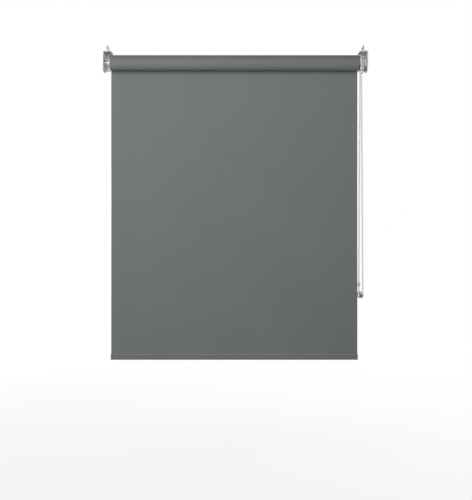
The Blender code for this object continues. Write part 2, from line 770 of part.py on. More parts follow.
# ---------------------------------------------------------------- idle end
def idle_plug():
    flange_low = FABRIC_LEFT - RUNNING_GAP - PLUG_FLANGE
    flange_high = FABRIC_LEFT - RUNNING_GAP
    chamber_low = flange_low + PLUG_FRONT_WALL
    end = FABRIC_LEFT + PLUG_LENGTH
    chamber_high = end - PLUG_BACK_WALL
    profile = [
        (flange_low, PIN_R + LOOSE_GAP),
        (flange_low, TUBE_OUTER_R - RIM_INSET),
        (flange_high, TUBE_OUTER_R - RIM_INSET),
        (flange_high, PLUG_BODY_R),
        (end, PLUG_BODY_R),
        (end, VENT_R),
        (chamber_high, VENT_R),
        (chamber_high, PLUG_CHAMBER_R),
        (chamber_low, PLUG_CHAMBER_R),
        (chamber_low, PIN_R + LOOSE_GAP),
    ]
    made = turned("idle_plug", profile, WHITE)
    ribs_on(made, flange_high - BITE, end - BITE, PLUG_BODY_R)


def pin_collar_low():
    return FABRIC_LEFT - RUNNING_GAP - PLUG_FLANGE + PLUG_FRONT_WALL + RUNNING_GAP


def idle_pin():
    tip = -HALF_WIDTH + RUNNING_GAP
    collar_low = pin_collar_low()
    collar_high = collar_low + PIN_COLLAR
    profile = [
        (tip, 0.0),
        (tip, PIN_R - 2 * CHAMFER),
        (tip + 2 * CHAMFER, PIN_R),
        (collar_low, PIN_R),
        (collar_low, PIN_COLLAR_R),
        (collar_high, PIN_COLLAR_R),
        (collar_high, PIN_TAIL_R),
        (collar_high + PIN_TAIL, PIN_TAIL_R),
        (collar_high + PIN_TAIL, 0.0),
    ]
    turned("idle_pin", profile, ZINC, steps=20)


def idle_pin_spring():
    low = pin_collar_low() + PIN_COLLAR + RUNNING_GAP + PIN_SPRING_WIRE_R
    high = FABRIC_LEFT + PLUG_LENGTH - PLUG_BACK_WALL - RUNNING_GAP - PIN_SPRING_WIRE_R
    per_turn = 8
    count = PIN_SPRING_TURNS * per_turn
    points = []
    for index in range(count + 1):
        angle = 2 * math.pi * index / per_turn
        x = low + (high - low) * index / count
        y = PIN_SPRING_R * math.cos(angle)
        points.append((x, y, AXIS_Z + PIN_SPRING_R * math.sin(angle)))
    wire("idle_pin_spring", points, PIN_SPRING_WIRE_R, SPRING_STEEL)


# ---------------------------------------------------------------- hanging fabric and hem
def fabric_panel():
    half = FABRIC_THICKNESS / 2
    box(
        "fabric_panel",
        (FABRIC_LEFT, WINDING_R - half, HEM_BOTTOM + HEM_HEIGHT + RUNNING_GAP),
        (FABRIC_RIGHT, WINDING_R + half, AXIS_Z),
        FABRIC,
    )


def hem_loop(height, thickness):
    """A flat loop with round ends about the hem's middle, seen from the side."""
    radius = thickness / 2
    up = height / 2 - radius
    return arc((0, up), radius, 0, 180, 8) + arc((0, -up), radius, 180, 360, 8)


HEM_MIDDLE = HEM_BOTTOM + HEM_HEIGHT / 2
HEM_THICKNESS = HEM_BAR_THICKNESS + 2 * RUNNING_GAP + 2 * FABRIC_THICKNESS
HEM_PLACE = Matrix.Translation((0.0, WINDING_R, HEM_MIDDLE - AXIS_Z)) @ SIDE_VIEW


def hem_pocket():
    outer = hem_loop(HEM_HEIGHT, HEM_THICKNESS)
    inner = hem_loop(HEM_HEIGHT - 2 * FABRIC_THICKNESS, HEM_THICKNESS - 2 * FABRIC_THICKNESS)
    plate("hem_pocket", [outer, inner], FABRIC_LEFT, FABRIC_RIGHT, FABRIC, HEM_PLACE)


def hem_bar():
    inset = HEM_CAP_TONGUE + RUNNING_GAP
    shape = hem_loop(HEM_BAR_HEIGHT, HEM_BAR_THICKNESS)
    plate("hem_bar", [shape], FABRIC_LEFT + inset, FABRIC_RIGHT - inset, ALUMINIUM, HEM_PLACE)


def hem_cap(name, side, edge):
    """A plate over the pocket's end with a tongue inside it. side is -1 or 1."""
    near = edge + side * RUNNING_GAP
    far = near + side * HEM_CAP_PLATE
    inside = edge - side * HEM_CAP_TONGUE
    made = plate(name, [hem_loop(HEM_HEIGHT, HEM_THICKNESS)], *sorted((near, far)), WHITE, HEM_PLACE)
    tongue = hem_loop(HEM_BAR_HEIGHT, HEM_BAR_THICKNESS)
    span = sorted((inside, near + side * HEM_CAP_PLATE / 2))
    join(made, plate(name + "_tongue", [tongue], *span, None, HEM_PLACE))


# ---------------------------------------------------------------- bead chain
def smooth_path(route, step):
    """Points closely spaced along a smooth curve through the route, each with its length so far."""
    knots = [CHAIN_ORIGIN + Vector(p) for p in route]
    spans = [(b - a).length for a, b in zip(knots, knots[1:])]
    slopes = [(b - a) / span for a, b, span in zip(knots, knots[1:], spans)]
    tangents = [slopes[0]]
    for i in range(1, len(knots) - 1):
        before, after = spans[i - 1], spans[i]
        tangents.append((slopes[i - 1] * after + slopes[i] * before) / (before + after))
    tangents.append(slopes[-1])
    points = [knots[0]]
    for i, span in enumerate(spans):
        count = max(2, math.ceil(span / step))
        for j in range(1, count + 1):
            t = j / count
            points.append(
                knots[i] * (2 * t**3 - 3 * t**2 + 1)
                + tangents[i] * span * (t**3 - 2 * t**2 + t)
                + knots[i + 1] * (3 * t**2 - 2 * t**3)
                + tangents[i + 1] * span * (t**3 - t**2)
            )
    lengths = [0.0]
    for a, b in zip(points, points[1:]):
        lengths.append(lengths[-1] + (b - a).length)
    return points, lengths


def point_at(points, lengths, target):
    """The point at a length along a path."""
    for i in range(1, len(points)):
        if lengths[i] >= target:
            share = (target - lengths[i - 1]) / (lengths[i] - lengths[i - 1])
            return points[i - 1].lerp(points[i], share)
    return points[-1]


def bead_chain():
    """Beads on their thread where the wheel holds them, and a plain tube of the beads' size beyond."""
    points, lengths = smooth_path(CHAIN_ROUTE, PATH_STEP)
    total = lengths[-1]
    pitch = total / round(total / BEAD_PITCH)
    thread = THREAD_R / BEAD_R
    along, across = BEAD_SHOULDER
    shape = [(-1.0, thread), (-along, across), (0.0, 1.0), (along, across), (1.0, thread)]
    stations = [(0.0, thread)]
    for index in range(BEADS_SHOWN):
        middle = (index + 0.5) * pitch
        stations += [(middle + share * BEAD_R, radius) for share, radius in shape]
    tube_start = BEADS_SHOWN * pitch + BEAD_R / 2
    stations.append((tube_start, thread))
    stations.append((tube_start + TUBE_SHOULDER, 1.0))
    mirrored = [(total - s, radius) for s, radius in reversed(stations)]
    turn_middle = total / 2
    run = turn_middle - TURN_REACH - TURN_STEP - tube_start
    straight = [tube_start + run * i / RUN_STATIONS for i in range(1, RUN_STATIONS + 1)]
    turn_start = turn_middle - TURN_REACH
    turn = [turn_start + 2 * TURN_REACH * i / TURN_STATIONS for i in range(TURN_STATIONS + 1)]
    plain = straight + turn + [total - s for s in reversed(straight)]
    stations = stations + [(s, 1.0) for s in plain] + mirrored
    places = [point_at(points, lengths, s) for s, _ in stations]
    wire("bead_chain", places, BEAD_R, WHITE, 2, [radius for _, radius in stations])


def stop_ball():
    """Two half shells that snap together over a bead, held below the guard's floor."""
    drop = GUARD_FLOOR + RUNNING_GAP + STOP_BALL_R
    place = strand_frame(FRONT_STRAND, drop)
    bore = BEAD_R + CHAIN_BORE_GAP
    start = math.degrees(math.asin(bore / STOP_BALL_R))
    curve = arc((0, 0), STOP_BALL_R, 90 - start, start - 90, 10)
    for name, sign in (("stop_ball_front", -1), ("stop_ball_rear", 1)):
        half = turned(name, [(y, x) for x, y in curve], WHITE, place, steps=24)
        reach = STOP_BALL_R + OVERCUT
        low, high = sorted((-sign * reach, sign * STOP_BALL_SEAM / 2))
        tool = box(name + "_seam", (-reach, low, -reach), (reach, high, reach), None)
        tool.matrix_world = place
        cut(half, tool)


def chain_connector():
    bore = BEAD_R + CHAIN_BORE_GAP
    half = CONNECTOR_LENGTH / 2
    profile = [
        (-half, bore),
        (-half, CONNECTOR_R - CHAMFER),
        (-half + CONNECTOR_TAPER, CONNECTOR_R),
        (half - CONNECTOR_TAPER, CONNECTOR_R),
        (half, CONNECTOR_R - CHAMFER),
        (half, bore),
    ]
    turned("chain_connector", profile, CLEAR, strand_frame(REAR_STRAND, CONNECTOR_DROP), steps=20)


# ---------------------------------------------------------------- chain tidy
def tidy_view(y):
    """A flat outline's own x and y onto X and Z about the tidy's centre, its thickness along -Y."""
    return Matrix.Translation((TIDY_CENTRE.x, y, TIDY_CENTRE.z)) @ Matrix.Rotation(math.pi / 2, 4, "X")


def teardrop(radius, point):
    """A circle with a rounded point above it."""
    lean = math.degrees(math.acos(radius / point))
    blunt = point - TIDY_TIP_CUT
    tip = [(TIDY_TIP_HALF, blunt), (-TIDY_TIP_HALF, blunt)]
    return arc((0, 0), radius, 90 + lean, 450 - lean, 28) + tip


def chain_tidy():
    """A boss that the chain turns round, on a stem that stands off the surface behind."""
    groove = BEAD_R + POCKET_GAP
    y = TIDY_CENTRE.y
    boss_r = TIDY_TURN_R - groove
    bore = TIDY_SCREW_R + RUNNING_GAP
    front = y - groove
    back = y + groove
    foot = BRACKET_REAR
    profile = [
        (front - TIDY_FLANGE, bore),
        (front - TIDY_FLANGE, TIDY_FLANGE_R - CHAMFER),
        (front - TIDY_FLANGE / 2, TIDY_FLANGE_R),
        (front, TIDY_FLANGE_R),
        (front + CHAMFER, boss_r),
        (back, boss_r),
        (back, TIDY_STEM_R),
        (foot - TIDY_FOOT, TIDY_STEM_R),
        (foot - TIDY_FOOT, TIDY_FOOT_R),
        (foot, TIDY_FOOT_R),
        (foot, bore),
    ]
    place = Matrix.Translation((TIDY_CENTRE.x, 0.0, TIDY_CENTRE.z)) @ ALONG_Y
    made = turned("chain_tidy", profile, WHITE, place, steps=24)
    hole = circle((TIDY_STEM_R + bore) / 2)
    drop = teardrop(TIDY_PLATE_R, TIDY_POINT)
    join(made, plate("tidy_plate", [drop, hole], 0.0, TIDY_PLATE, None, tidy_view(back + TIDY_PLATE)))


def tidy_screw():
    seat = TIDY_CENTRE.y - BEAD_R - POCKET_GAP - TIDY_FLANGE - RUNNING_GAP
    place = Matrix.Translation((TIDY_CENTRE.x, seat, TIDY_CENTRE.z)) @ ALONG_Y
    screw("tidy_screw", place, BRACKET_REAR - seat + TIDY_SCREW_GRIP, TIDY_SCREW_R)


# ---------------------------------------------------------------- the whole blind
left_bracket()
right_bracket()
bracket_screws()
hub_core()
chain_guard()
retaining_clip()
chain_wheel()
for spring_name, spring_start in zip(("inner_brake_spring", "outer_brake_spring"), SPRING_STARTS):
    wrap_spring(spring_name, FABRIC_RIGHT - spring_start)
drive_insert()
roller_tube()
fabric_roll()
idle_plug()
idle_pin()
idle_pin_spring()
fabric_panel()
hem_pocket()
hem_bar()
hem_cap("left_hem_cap", -1, FABRIC_LEFT)
hem_cap("right_hem_cap", 1, FABRIC_RIGHT)
bead_chain()
stop_ball()
chain_connector()
chain_tidy()
tidy_screw()
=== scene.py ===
"""The looks of a chain-operated roller blind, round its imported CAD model. Metres, +Z up, the room at -Y."""

import math
import random

import bmesh
import bpy
from mathutils import Matrix, Vector, noise

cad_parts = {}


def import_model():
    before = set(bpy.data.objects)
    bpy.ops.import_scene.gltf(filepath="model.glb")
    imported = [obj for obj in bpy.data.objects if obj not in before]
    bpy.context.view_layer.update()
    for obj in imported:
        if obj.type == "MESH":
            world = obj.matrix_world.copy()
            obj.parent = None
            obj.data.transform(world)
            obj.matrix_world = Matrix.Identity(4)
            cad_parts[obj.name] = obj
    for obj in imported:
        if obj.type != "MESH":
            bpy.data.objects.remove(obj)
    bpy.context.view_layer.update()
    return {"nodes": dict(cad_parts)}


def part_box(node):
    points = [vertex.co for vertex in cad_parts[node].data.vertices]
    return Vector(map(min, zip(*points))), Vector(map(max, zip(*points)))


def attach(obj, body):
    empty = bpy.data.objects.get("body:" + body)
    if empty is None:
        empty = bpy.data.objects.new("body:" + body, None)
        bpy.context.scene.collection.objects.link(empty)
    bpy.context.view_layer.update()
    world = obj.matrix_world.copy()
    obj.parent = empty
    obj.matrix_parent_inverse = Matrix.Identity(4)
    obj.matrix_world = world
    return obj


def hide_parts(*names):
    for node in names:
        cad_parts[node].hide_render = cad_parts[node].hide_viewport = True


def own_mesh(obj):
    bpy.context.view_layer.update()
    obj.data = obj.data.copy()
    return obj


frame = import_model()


# ---------------------------------------------------------------- places taken from the frame
def middle(node):
    low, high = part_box(node)
    return (low + high) / 2


FABRIC_LOW, FABRIC_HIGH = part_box("fabric_panel")
FABRIC_LEFT = FABRIC_LOW.x
FABRIC_RIGHT = FABRIC_HIGH.x
FABRIC_THICKNESS = FABRIC_HIGH.y - FABRIC_LOW.y
FABRIC_WIDTH = FABRIC_RIGHT - FABRIC_LEFT
WINDING_R = (FABRIC_LOW.y + FABRIC_HIGH.y) / 2  # roller's axis to where the cloth leaves it
AXIS_Z = middle("roller_tube").z
WHEEL_HALF_WIDTH = 0.0037  # the chain runs in the middle plane of its wheel
CHAIN_ORIGIN = Vector((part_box("chain_wheel")[1].x - WHEEL_HALF_WIDTH, 0.0, AXIS_Z))

# ---------------------------------------------------------------- sizes
# The chain and what is on it.
BEAD_PITCH = 0.006
BEAD_R = 0.00225
CHAIN_THREAD_R = 0.0007
CHAIN_SIDES = 14
CHAIN_STEP = 0.0005  # between points of its path
BEAD_RINGS = 11
BEAD_BORE_GAP = 0.00035  # between a bead and what closes round it
BALL_STEPS = 14  # from one end of the stop ball to the other
SHELL_STEPS = 24  # round each of its half shells
BALL_GROOVE_HALF = 0.0006
BALL_GROOVE_DEPTH = 0.0002
BALL_SEAM = 0.00008  # half the gap between the stop ball's shells
CONNECTOR_WALL = 0.0007
CONNECTOR_INSET = 0.0001  # at each end of its CAD solid
CONNECTOR_TAPER = (0.0012, 0.0006)  # long and deep, at each end
CONNECTOR_WAIST = (0.0008, 0.0004, 0.0003)  # half its width outside and inside, and its depth
CONNECTOR_ROUNDING = 0.0003
CONNECTOR_SLIT = math.radians(38)
CONNECTOR_STEPS = 40

# The cloth, its hem and its stitches.
ROLL_LAYER_GAP = 0.00004  # air between two layers on the roll
ROLL_TUBE_GAP = 0.0003
ROLL_STEPS = 60  # a turn
ROLL_SECTIONS = 10
ROLL_STRAY = 0.00022  # how far a layer's edge strays sideways
ROLL_RIPPLE = 0.00006
PANEL_COLUMNS = 76
PANEL_ROWS = 90
PANEL_TUCK = 0.0010  # how far the panel runs into the hem's seam
SEAM_HEIGHT = 0.0015
HEM_SECTIONS = 70
HEM_SAG = 0.00008
HEM_SHOULDER_DROP = 0.0017  # from the bar's top to where the hem is at its widest
HEM_SLOPE_STEPS = 7
HEM_FOOT_STEPS = 8
HEM_GAP = 0.00002  # keeps the seam's two layers apart
HEM_TURN = 0.02  # how far the weave's place jumps from the hem's front to its back
WEAVE_PITCH = 0.00046
STITCH_PITCH = 0.0031
STITCH_LENGTH = 0.0026
STITCH_R = 0.0002
STITCH_RINGS = 8
STITCH_SIDES = 8
STITCH_MARGIN = 0.002  # cloth without stitches at each end of the seam
STITCH_STANDOFF = 0.00008
STITCH_TALLER = 1.5  # a stitch's height against its thickness
STITCH_LIFT = 0.00006  # most that a stitch lies off its row
STITCH_TURN = 0.05  # and most that it turns, in radians

# The springs.
BRAKE_SPRING_R = 0.00575
BRAKE_WIRE_R = 0.0004
BRAKE_SPRING_TURNS = 4.5
BRAKE_SPRING_STEPS = 24  # a turn
PIN_WIRE_R = 0.00028
PIN_SPRING_TURNS = 9
PIN_SPRING_STEPS = 20
CLOSE_COIL = 2.1  # wire radii from one closed turn of the pin's spring to the next
WIRE_SIDES = 8

# The screws.
SCREW_HEAD_OUTLINE = (  # shares of its height and of its radius, from its crown to its underside
    (0.0, 0.0),
    (0.0, 0.5),
    (0.06, 0.68),
    (0.24, 0.87),
    (0.55, 0.98),
    (0.85, 1.0),
    (1.0, 0.98),
)
SCREW_HEAD_HEIGHT = 0.64  # share of the head's radius, as are the next three
RECESS_REACH = 0.58
RECESS_HALF_WIDTH = 0.12
RECESS_DEPTH = 1 / 3
RECESS_FLOOR = 0.55  # share of the recess's reach that is left at its floor
RECESS_LEAD = 0.0004  # its cutter starts this far above the crown
THREAD_ROOT = 0.80  # share of the shank's radius, as are the next two
THREAD_CREST = 1.12
THREAD_PITCH = 0.95
THREAD_RINGS = 6  # a turn
THREAD_START = 0.0002
SCREW_TIP = 0.0035
SCREW_TIP_BLUNTNESS = 0.12
SCREW_SIDES = 20
FOOT_SCREW = (0.0015, 0.0025)  # radius and length of the plain shank
TIDY_SCREW = (0.0012, 0.0235)

# ---------------------------------------------------------------- the chain's loop
# From the chain's plane, the axis and the axis height: from the wheel's top forwards, down the front,
# round the tidy, up the back and over the wheel to where it began.
CHAIN_ROUTE = [
    (0.0, -0.0003, 0.01159),
    (0.0, -0.00444, 0.01071),
    (0.0, -0.0082, 0.0082),
    (0.0, -0.01071, 0.00444),
    (0.0, -0.01159, 0.0),
    (0.00005, -0.01141, -0.005),
    (0.00021, -0.01085, -0.020),
    (0.00100, -0.00808, -0.095),
    (0.00238, -0.00328, -0.225),
    (0.00375, 0.00152, -0.355),
    (0.00501, 0.00595, -0.475),
    (0.00544, 0.00743, -0.515),
    (0.00555, 0.00782, -0.5255),
    (0.0056, 0.0080, -0.5305),
    (0.00425, 0.0080, -0.53375),
    (0.0010, 0.0080, -0.5351),
    (-0.00225, 0.0080, -0.53375),
    (-0.0036, 0.0080, -0.5305),
    (-0.00357, 0.00803, -0.5255),
    (-0.00349, 0.00810, -0.515),
    (-0.00322, 0.00838, -0.475),
    (-0.00241, 0.00919, -0.355),
    (-0.00153, 0.01007, -0.225),
    (-0.00064, 0.01095, -0.095),
    (-0.00014, 0.01145, -0.020),
    (-0.00003, 0.01156, -0.005),
    (0.0, 0.01159, 0.0),
    (0.0, 0.01071, 0.00444),
    (0.0, 0.0082, 0.0082),
    (0.0, 0.00444, 0.01071),
    (0.0, 0.0003, 0.01159),
]
FRONT_STRAND = (CHAIN_ROUTE[4], CHAIN_ROUTE[13])
REAR_STRAND = (CHAIN_ROUTE[26], CHAIN_ROUTE[17])

# ---------------------------------------------------------------- camera
CAMERA_DISTANCE = 2.2  # from the cloth
CAMERA_X = 0.0014
CAMERA_HEIGHT = -0.355
CAMERA_LENS = 69.0
CAMERA_SENSOR = 36.0
CAMERA_SHIFT_Y = -0.0845


def add_camera():
    data = bpy.data.cameras.new("camera")
    data.lens = CAMERA_LENS
    data.sensor_width = CAMERA_SENSOR
    data.shift_y = CAMERA_SHIFT_Y
    camera = bpy.data.objects.new("camera", data)
    camera.location = (CAMERA_X, WINDING_R - CAMERA_DISTANCE, CAMERA_HEIGHT)
    camera.rotation_euler = (math.pi / 2, 0.0, 0.0)
    bpy.context.scene.collection.objects.link(camera)
    bpy.context.scene.camera = camera


add_camera()


# ---------------------------------------------------------------- material graphs
class Graph:
    """One material's nodes, added and linked by short calls."""

    def __init__(self, name, colour, roughness, metallic=0.0, **constants):
        self.material = bpy.data.materials.new(name)
        self.material.use_nodes = True
        self.material.diffuse_color = (*colour, 1.0)
        self.tree = self.material.node_tree
        self.shader = self.tree.nodes["Principled BSDF"]
        self.set("Base Color", (*colour, 1.0))
        self.set("Roughness", roughness)
        self.set("Metallic", metallic)
        for socket, value in constants.items():
            self.set(socket.replace("_", " "), value)

    def set(self, socket, value):
        self.plug(self.shader.inputs[socket], value)

    def plug(self, socket, value):
        if isinstance(value, bpy.types.NodeSocket):
            self.tree.links.new(value, socket)
        else:
            socket.default_value = value

    def node(self, kind, inputs=(), **settings):
        made = self.tree.nodes.new("ShaderNode" + kind)
        for key, value in settings.items():
            setattr(made, key, value)
        for key, value in dict(inputs).items():
            self.plug(made.inputs[key], value)
        return made

    def math(self, operation, a, b=0.0):
        return self.node("Math", {0: a, 1: b}, operation=operation).outputs[0]

    def place(self, scale=(1.0, 1.0, 1.0)):
        """Object coordinates, stretched."""
        source = self.node("TexCoord").outputs["Object"]
        return self.node("Mapping", {"Vector": source, "Scale": scale}).outputs[0]

    def attribute(self, name, output="Fac"):
        return self.node("Attribute", attribute_name=name).outputs[output]

    def noise(self, vector, size, detail=3.0, roughness=0.5):
        """Noise whose blotches are about size metres across, from 0 to 1."""
        settings = {"Vector": vector, "Scale": 1.0 / size, "Detail": detail, "Roughness": roughness}
        return self.node("TexNoise", settings).outputs["Fac"]

    def remap(self, value, low, high, to_low=0.0, to_high=1.0):
        inputs = {0: value, 1: low, 2: high, 3: to_low, 4: to_high}
        return self.node("MapRange", inputs).outputs[0]

    def mix(self, factor, first, second):
        """A blend of two colours, each a triple or a socket."""
        made = self.node("Mix", data_type="RGBA")
        self.plug(made.inputs["Factor"], factor)
        colour_inputs = [i for i in made.inputs if i.type == "RGBA"]
        for socket, value in zip(colour_inputs, (first, second)):
            self.plug(socket, value if isinstance(value, bpy.types.NodeSocket) else (*value, 1.0))
        return next(o for o in made.outputs if o.type == "RGBA")

    def bump(self, height, distance, strength):
        """A bump on top of those there already."""
        made = self.node("Bump", {"Height": height, "Distance": distance, "Strength": strength})
        previous = self.shader.inputs["Normal"]
        if previous.is_linked:
            self.tree.links.new(previous.links[0].from_socket, made.inputs["Normal"])
        self.set("Normal", made.outputs[0])


def weave(graph):
    """(yarn height, in 0 to 1, and the cloth's own coordinates) of a plain weave."""
    cloth = graph.attribute("cloth", "Vector")
    across, along, _ = graph.node("SeparateXYZ", {0: cloth}).outputs
    waves = []
    for value in (across, along):
        angle = graph.math("MULTIPLY", value, math.pi / WEAVE_PITCH)
        waves.append(graph.math("SINE", angle))
    product = graph.math("MULTIPLY", waves[0], waves[1])
    ridges = [graph.math("ABSOLUTE", wave) for wave in waves]
    warp_on_top = graph.math("GREATER_THAN", product, 0.0)
    warp = graph.math("MULTIPLY", ridges[0], warp_on_top)
    weft = graph.math("MULTIPLY", ridges[1], graph.math("SUBTRACT", 1.0, warp_on_top))
    height = graph.math("POWER", graph.math("ADD", warp, weft), 0.7)
    return height, cloth


def fabric_material():
    grey = (0.148, 0.162, 0.166)
    graph = Graph("woven_blind_fabric", grey, 0.78, Sheen_Weight=0.12, Sheen_Roughness=0.5)
    height, cloth = weave(graph)
    stretched = {
        "warp": graph.node("Mapping", {"Vector": cloth, "Scale": (1.0, 0.03, 1.0)}).outputs[0],
        "weft": graph.node("Mapping", {"Vector": cloth, "Scale": (0.03, 1.0, 1.0)}).outputs[0],
    }
    warp_slubs = graph.noise(stretched["warp"], 0.0011, 2.0)
    weft_slubs = graph.noise(stretched["weft"], 0.0011, 2.0)
    slubs = graph.math("ADD", warp_slubs, weft_slubs)
    cloud = graph.noise(cloth, 0.16, 2.0)
    fluff = graph.noise(cloth, 0.00012, 2.0, 0.7)
    shade = graph.remap(slubs, 0.7, 1.3, 0.0, 0.6)
    shade = graph.math("ADD", shade, graph.remap(cloud, 0.3, 0.7, 0.0, 0.25))
    yarn = graph.mix(shade, (0.133, 0.1455, 0.149), (0.162, 0.176, 0.180))
    # Painted shade: where the yarns lie low, between the raised ones, the colour is darkened towards a darker
    # grey.
    weave_hollow_shade = graph.remap(height, 0.0, 0.55, 1.0, 0.0)
    graph.set("Base Color", graph.mix(graph.math("MULTIPLY", weave_hollow_shade, 0.45), yarn, (0.074, 0.081, 0.084)))
    graph.set("Roughness", graph.remap(slubs, 0.7, 1.3, 0.72, 0.86))
    graph.bump(slubs, 0.00006, 0.5)
    graph.bump(graph.math("ADD", height, graph.math("MULTIPLY", fluff, 0.25)), 0.00007, 0.8)
    return graph.material


def thread_material():
    # The thread's pale grey is partly its own colour and partly painted highlight, lightened to stand in for
    # the light the seam catches.
    graph = Graph("hem_thread", (0.51, 0.52, 0.52), 0.6, Sheen_Weight=0.2)
    turns = graph.noise(graph.place((0.4, 1.0, 1.0)), 0.00016, 2.0)
    graph.set("Base Color", graph.mix(turns, (0.45, 0.46, 0.46), (0.59, 0.60, 0.60)))
    graph.bump(turns, 0.00004, 0.8)
    return graph.material


def worn(graph, colour, worn_colour, amount):
    """A colour that changes where an edge has been rubbed, and where that is, from 0 to 1."""
    patches = graph.noise(graph.place(), 0.004, 4.0, 0.65)
    mask = graph.math("MULTIPLY", graph.attribute("wear"), graph.remap(patches, 0.42, 0.62))
    return graph.mix(graph.math("MULTIPLY", mask, amount), colour, worn_colour), mask


def painted_material():
    """Powder-coated steel: orange peel, faint dust, and paler rubbed edges."""
    graph = Graph("coated_bracket_steel", (0.62, 0.62, 0.61), 0.45, Coat_Weight=0.15, Coat_Roughness=0.3)
    place = graph.place()
    cloud = graph.noise(place, 0.018, 4.0)
    peel = graph.noise(place, 0.0009, 2.0)
    coat = graph.mix(cloud, (0.611, 0.611, 0.604), (0.624, 0.624, 0.616))
    colour, mask = worn(graph, coat, (0.72, 0.72, 0.715), 0.7)
    graph.set("Base Color", colour)
    graph.set("Roughness", graph.remap(graph.noise(place, 0.006, 5.0), 0.3, 0.7, 0.41, 0.49))
    graph.bump(peel, 0.00005, 0.6)
    graph.bump(mask, -0.00003, 0.5)
    return graph.material


def moulded_material(name, low, high, gloss, **constants):
    """Injection-moulded plastic: a fine spark-eroded grain, flow marks and slight handling marks."""
    graph = Graph(name, high, gloss, **constants)
    place = graph.place()
    flow = graph.noise(graph.place((0.4, 1.0, 1.0)), 0.010, 3.0)
    grain = graph.noise(place, 0.00035, 3.0, 0.6)
    marks = graph.noise(place, 0.003, 6.0, 0.7)
    base = graph.mix(flow, low, high)
    colour, _ = worn(graph, base, tuple(0.86 * part for part in high), 0.5)
    graph.set("Base Color", colour)
    graph.set("Roughness", graph.remap(marks, 0.3, 0.7, gloss - 0.07, gloss + 0.12))
    graph.bump(grain, 0.000025, 0.5)
    graph.bump(flow, 0.00006, 0.3)
    return graph.material


def metal_material(name, low, high, roughness, stretch, grain, depth):
    """Metal with drawing, rolling or extrusion lines along the axis that stretch leaves long."""
    graph = Graph(name, high, roughness, 1.0)
    lines = graph.noise(graph.place(stretch), grain, 4.0, 0.6)
    patches = graph.noise(graph.place(), 0.005, 4.0)
    tone = graph.math("ADD", graph.math("MULTIPLY", lines, 0.5), graph.math("MULTIPLY", patches, 0.5))
    bright = tuple(min(1.0, 1.15 * part) for part in high)
    colour, _ = worn(graph, graph.mix(tone, low, high), bright, 0.6)
    graph.set("Base Color", colour)
    graph.set("Roughness", graph.remap(tone, 0.35, 0.65, roughness - 0.08, roughness + 0.12))
    graph.bump(lines, depth, 0.5)
    return graph.material


def chain_thread_material():
    graph = Graph("chain_thread", (0.62, 0.62, 0.60), 0.7, Sheen_Weight=0.15)
    twist = graph.noise(graph.place((1.0, 1.0, 0.5)), 0.0003, 2.0)
    graph.set("Base Color", graph.mix(twist, (0.52, 0.52, 0.50), (0.68, 0.68, 0.66)))
    graph.bump(twist, 0.00008, 0.8)
    return graph.material


FABRIC = fabric_material()
THREAD = thread_material()
PAINT = painted_material()
WHITE = moulded_material("white_moulded_plastic", (0.60, 0.60, 0.585), (0.66, 0.66, 0.645), 0.36)
BEADS = moulded_material(
    "chain_bead_plastic", (0.68, 0.68, 0.66), (0.74, 0.74, 0.725), 0.24, Coat_Weight=0.3, Coat_Roughness=0.1
)
CHAIN_THREAD = chain_thread_material()
CLEAR = moulded_material(
    "translucent_plastic", (0.82, 0.84, 0.84), (0.88, 0.90, 0.90), 0.22, Transmission_Weight=0.22, IOR=1.49
)
ZINC = metal_material(
    "zinc_plate", (0.50, 0.50, 0.49), (0.66, 0.66, 0.65), 0.32, (1.0, 1.0, 0.15), 0.0008, 0.00002
)
DARK_ZINC = metal_material(
    "dark_passivated_zinc", (0.17, 0.17, 0.17), (0.26, 0.26, 0.26), 0.38, (1.0, 0.15, 1.0), 0.0008, 0.00002
)
SPRING = metal_material(
    "spring_wire", (0.30, 0.29, 0.28), (0.46, 0.45, 0.44), 0.30, (0.1, 1.0, 1.0), 0.0004, 0.00002
)
ALUMINIUM = metal_material(
    "extruded_aluminium", (0.66, 0.67, 0.68), (0.80, 0.81, 0.82), 0.30, (0.01, 1.0, 1.0), 0.0004, 0.00003
)


# ---------------------------------------------------------------- mesh helpers
MERGE_DISTANCE = 0.000001
SLIVER = 0.0000005  # an edge shorter than this goes
FLAT_ANGLE = 0.5  # CAD faces that meet at fewer degrees become one
ROUNDED_ANGLE = 30  # a CAD edge sharper than this many degrees is rounded


def object_of(name, mesh, *materials):
    obj = bpy.data.objects.new(name, mesh)
    bpy.context.scene.collection.objects.link(obj)
    for material in materials:
        mesh.materials.append(material)
    return obj


def shade(bm, angle=32):
    """Smooth faces, with sharp edges where two meet at more than angle degrees."""
    limit = math.radians(angle)
    for face in bm.faces:
        face.smooth = True
    for edge in bm.edges:
        edge.smooth = len(edge.link_faces) == 2 and edge.calc_face_angle(0.0) < limit


def mesh_of(name, points, faces, angle=32, cloth=(), merge=False):
    """A closed mesh with its faces turned outwards. cloth gives each point's place on the flat cloth."""
    bm = bmesh.new()
    layer = bm.verts.layers.float_vector.new("cloth") if cloth else None
    verts = [bm.verts.new(p) for p in points]
    for vert, place in zip(verts, cloth):
        vert[layer] = place
    for face in faces:
        bm.faces.new([verts[i] for i in face])
    if merge:
        bmesh.ops.remove_doubles(bm, verts=bm.verts, dist=MERGE_DISTANCE)
        bmesh.ops.dissolve_degenerate(bm, edges=bm.edges, dist=SLIVER)
    bmesh.ops.recalc_face_normals(bm, faces=bm.faces)
    shade(bm, angle)
    mesh = bpy.data.meshes.new(name)
    bm.to_mesh(mesh)
    bm.free()
    return mesh


def placed(obj, body, slot, *nodes):
    """A piece on its body, standing for the CAD nodes given, which it hides. slot is not used."""
    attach(obj, body)
    if nodes:
        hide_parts(*nodes)
    return obj


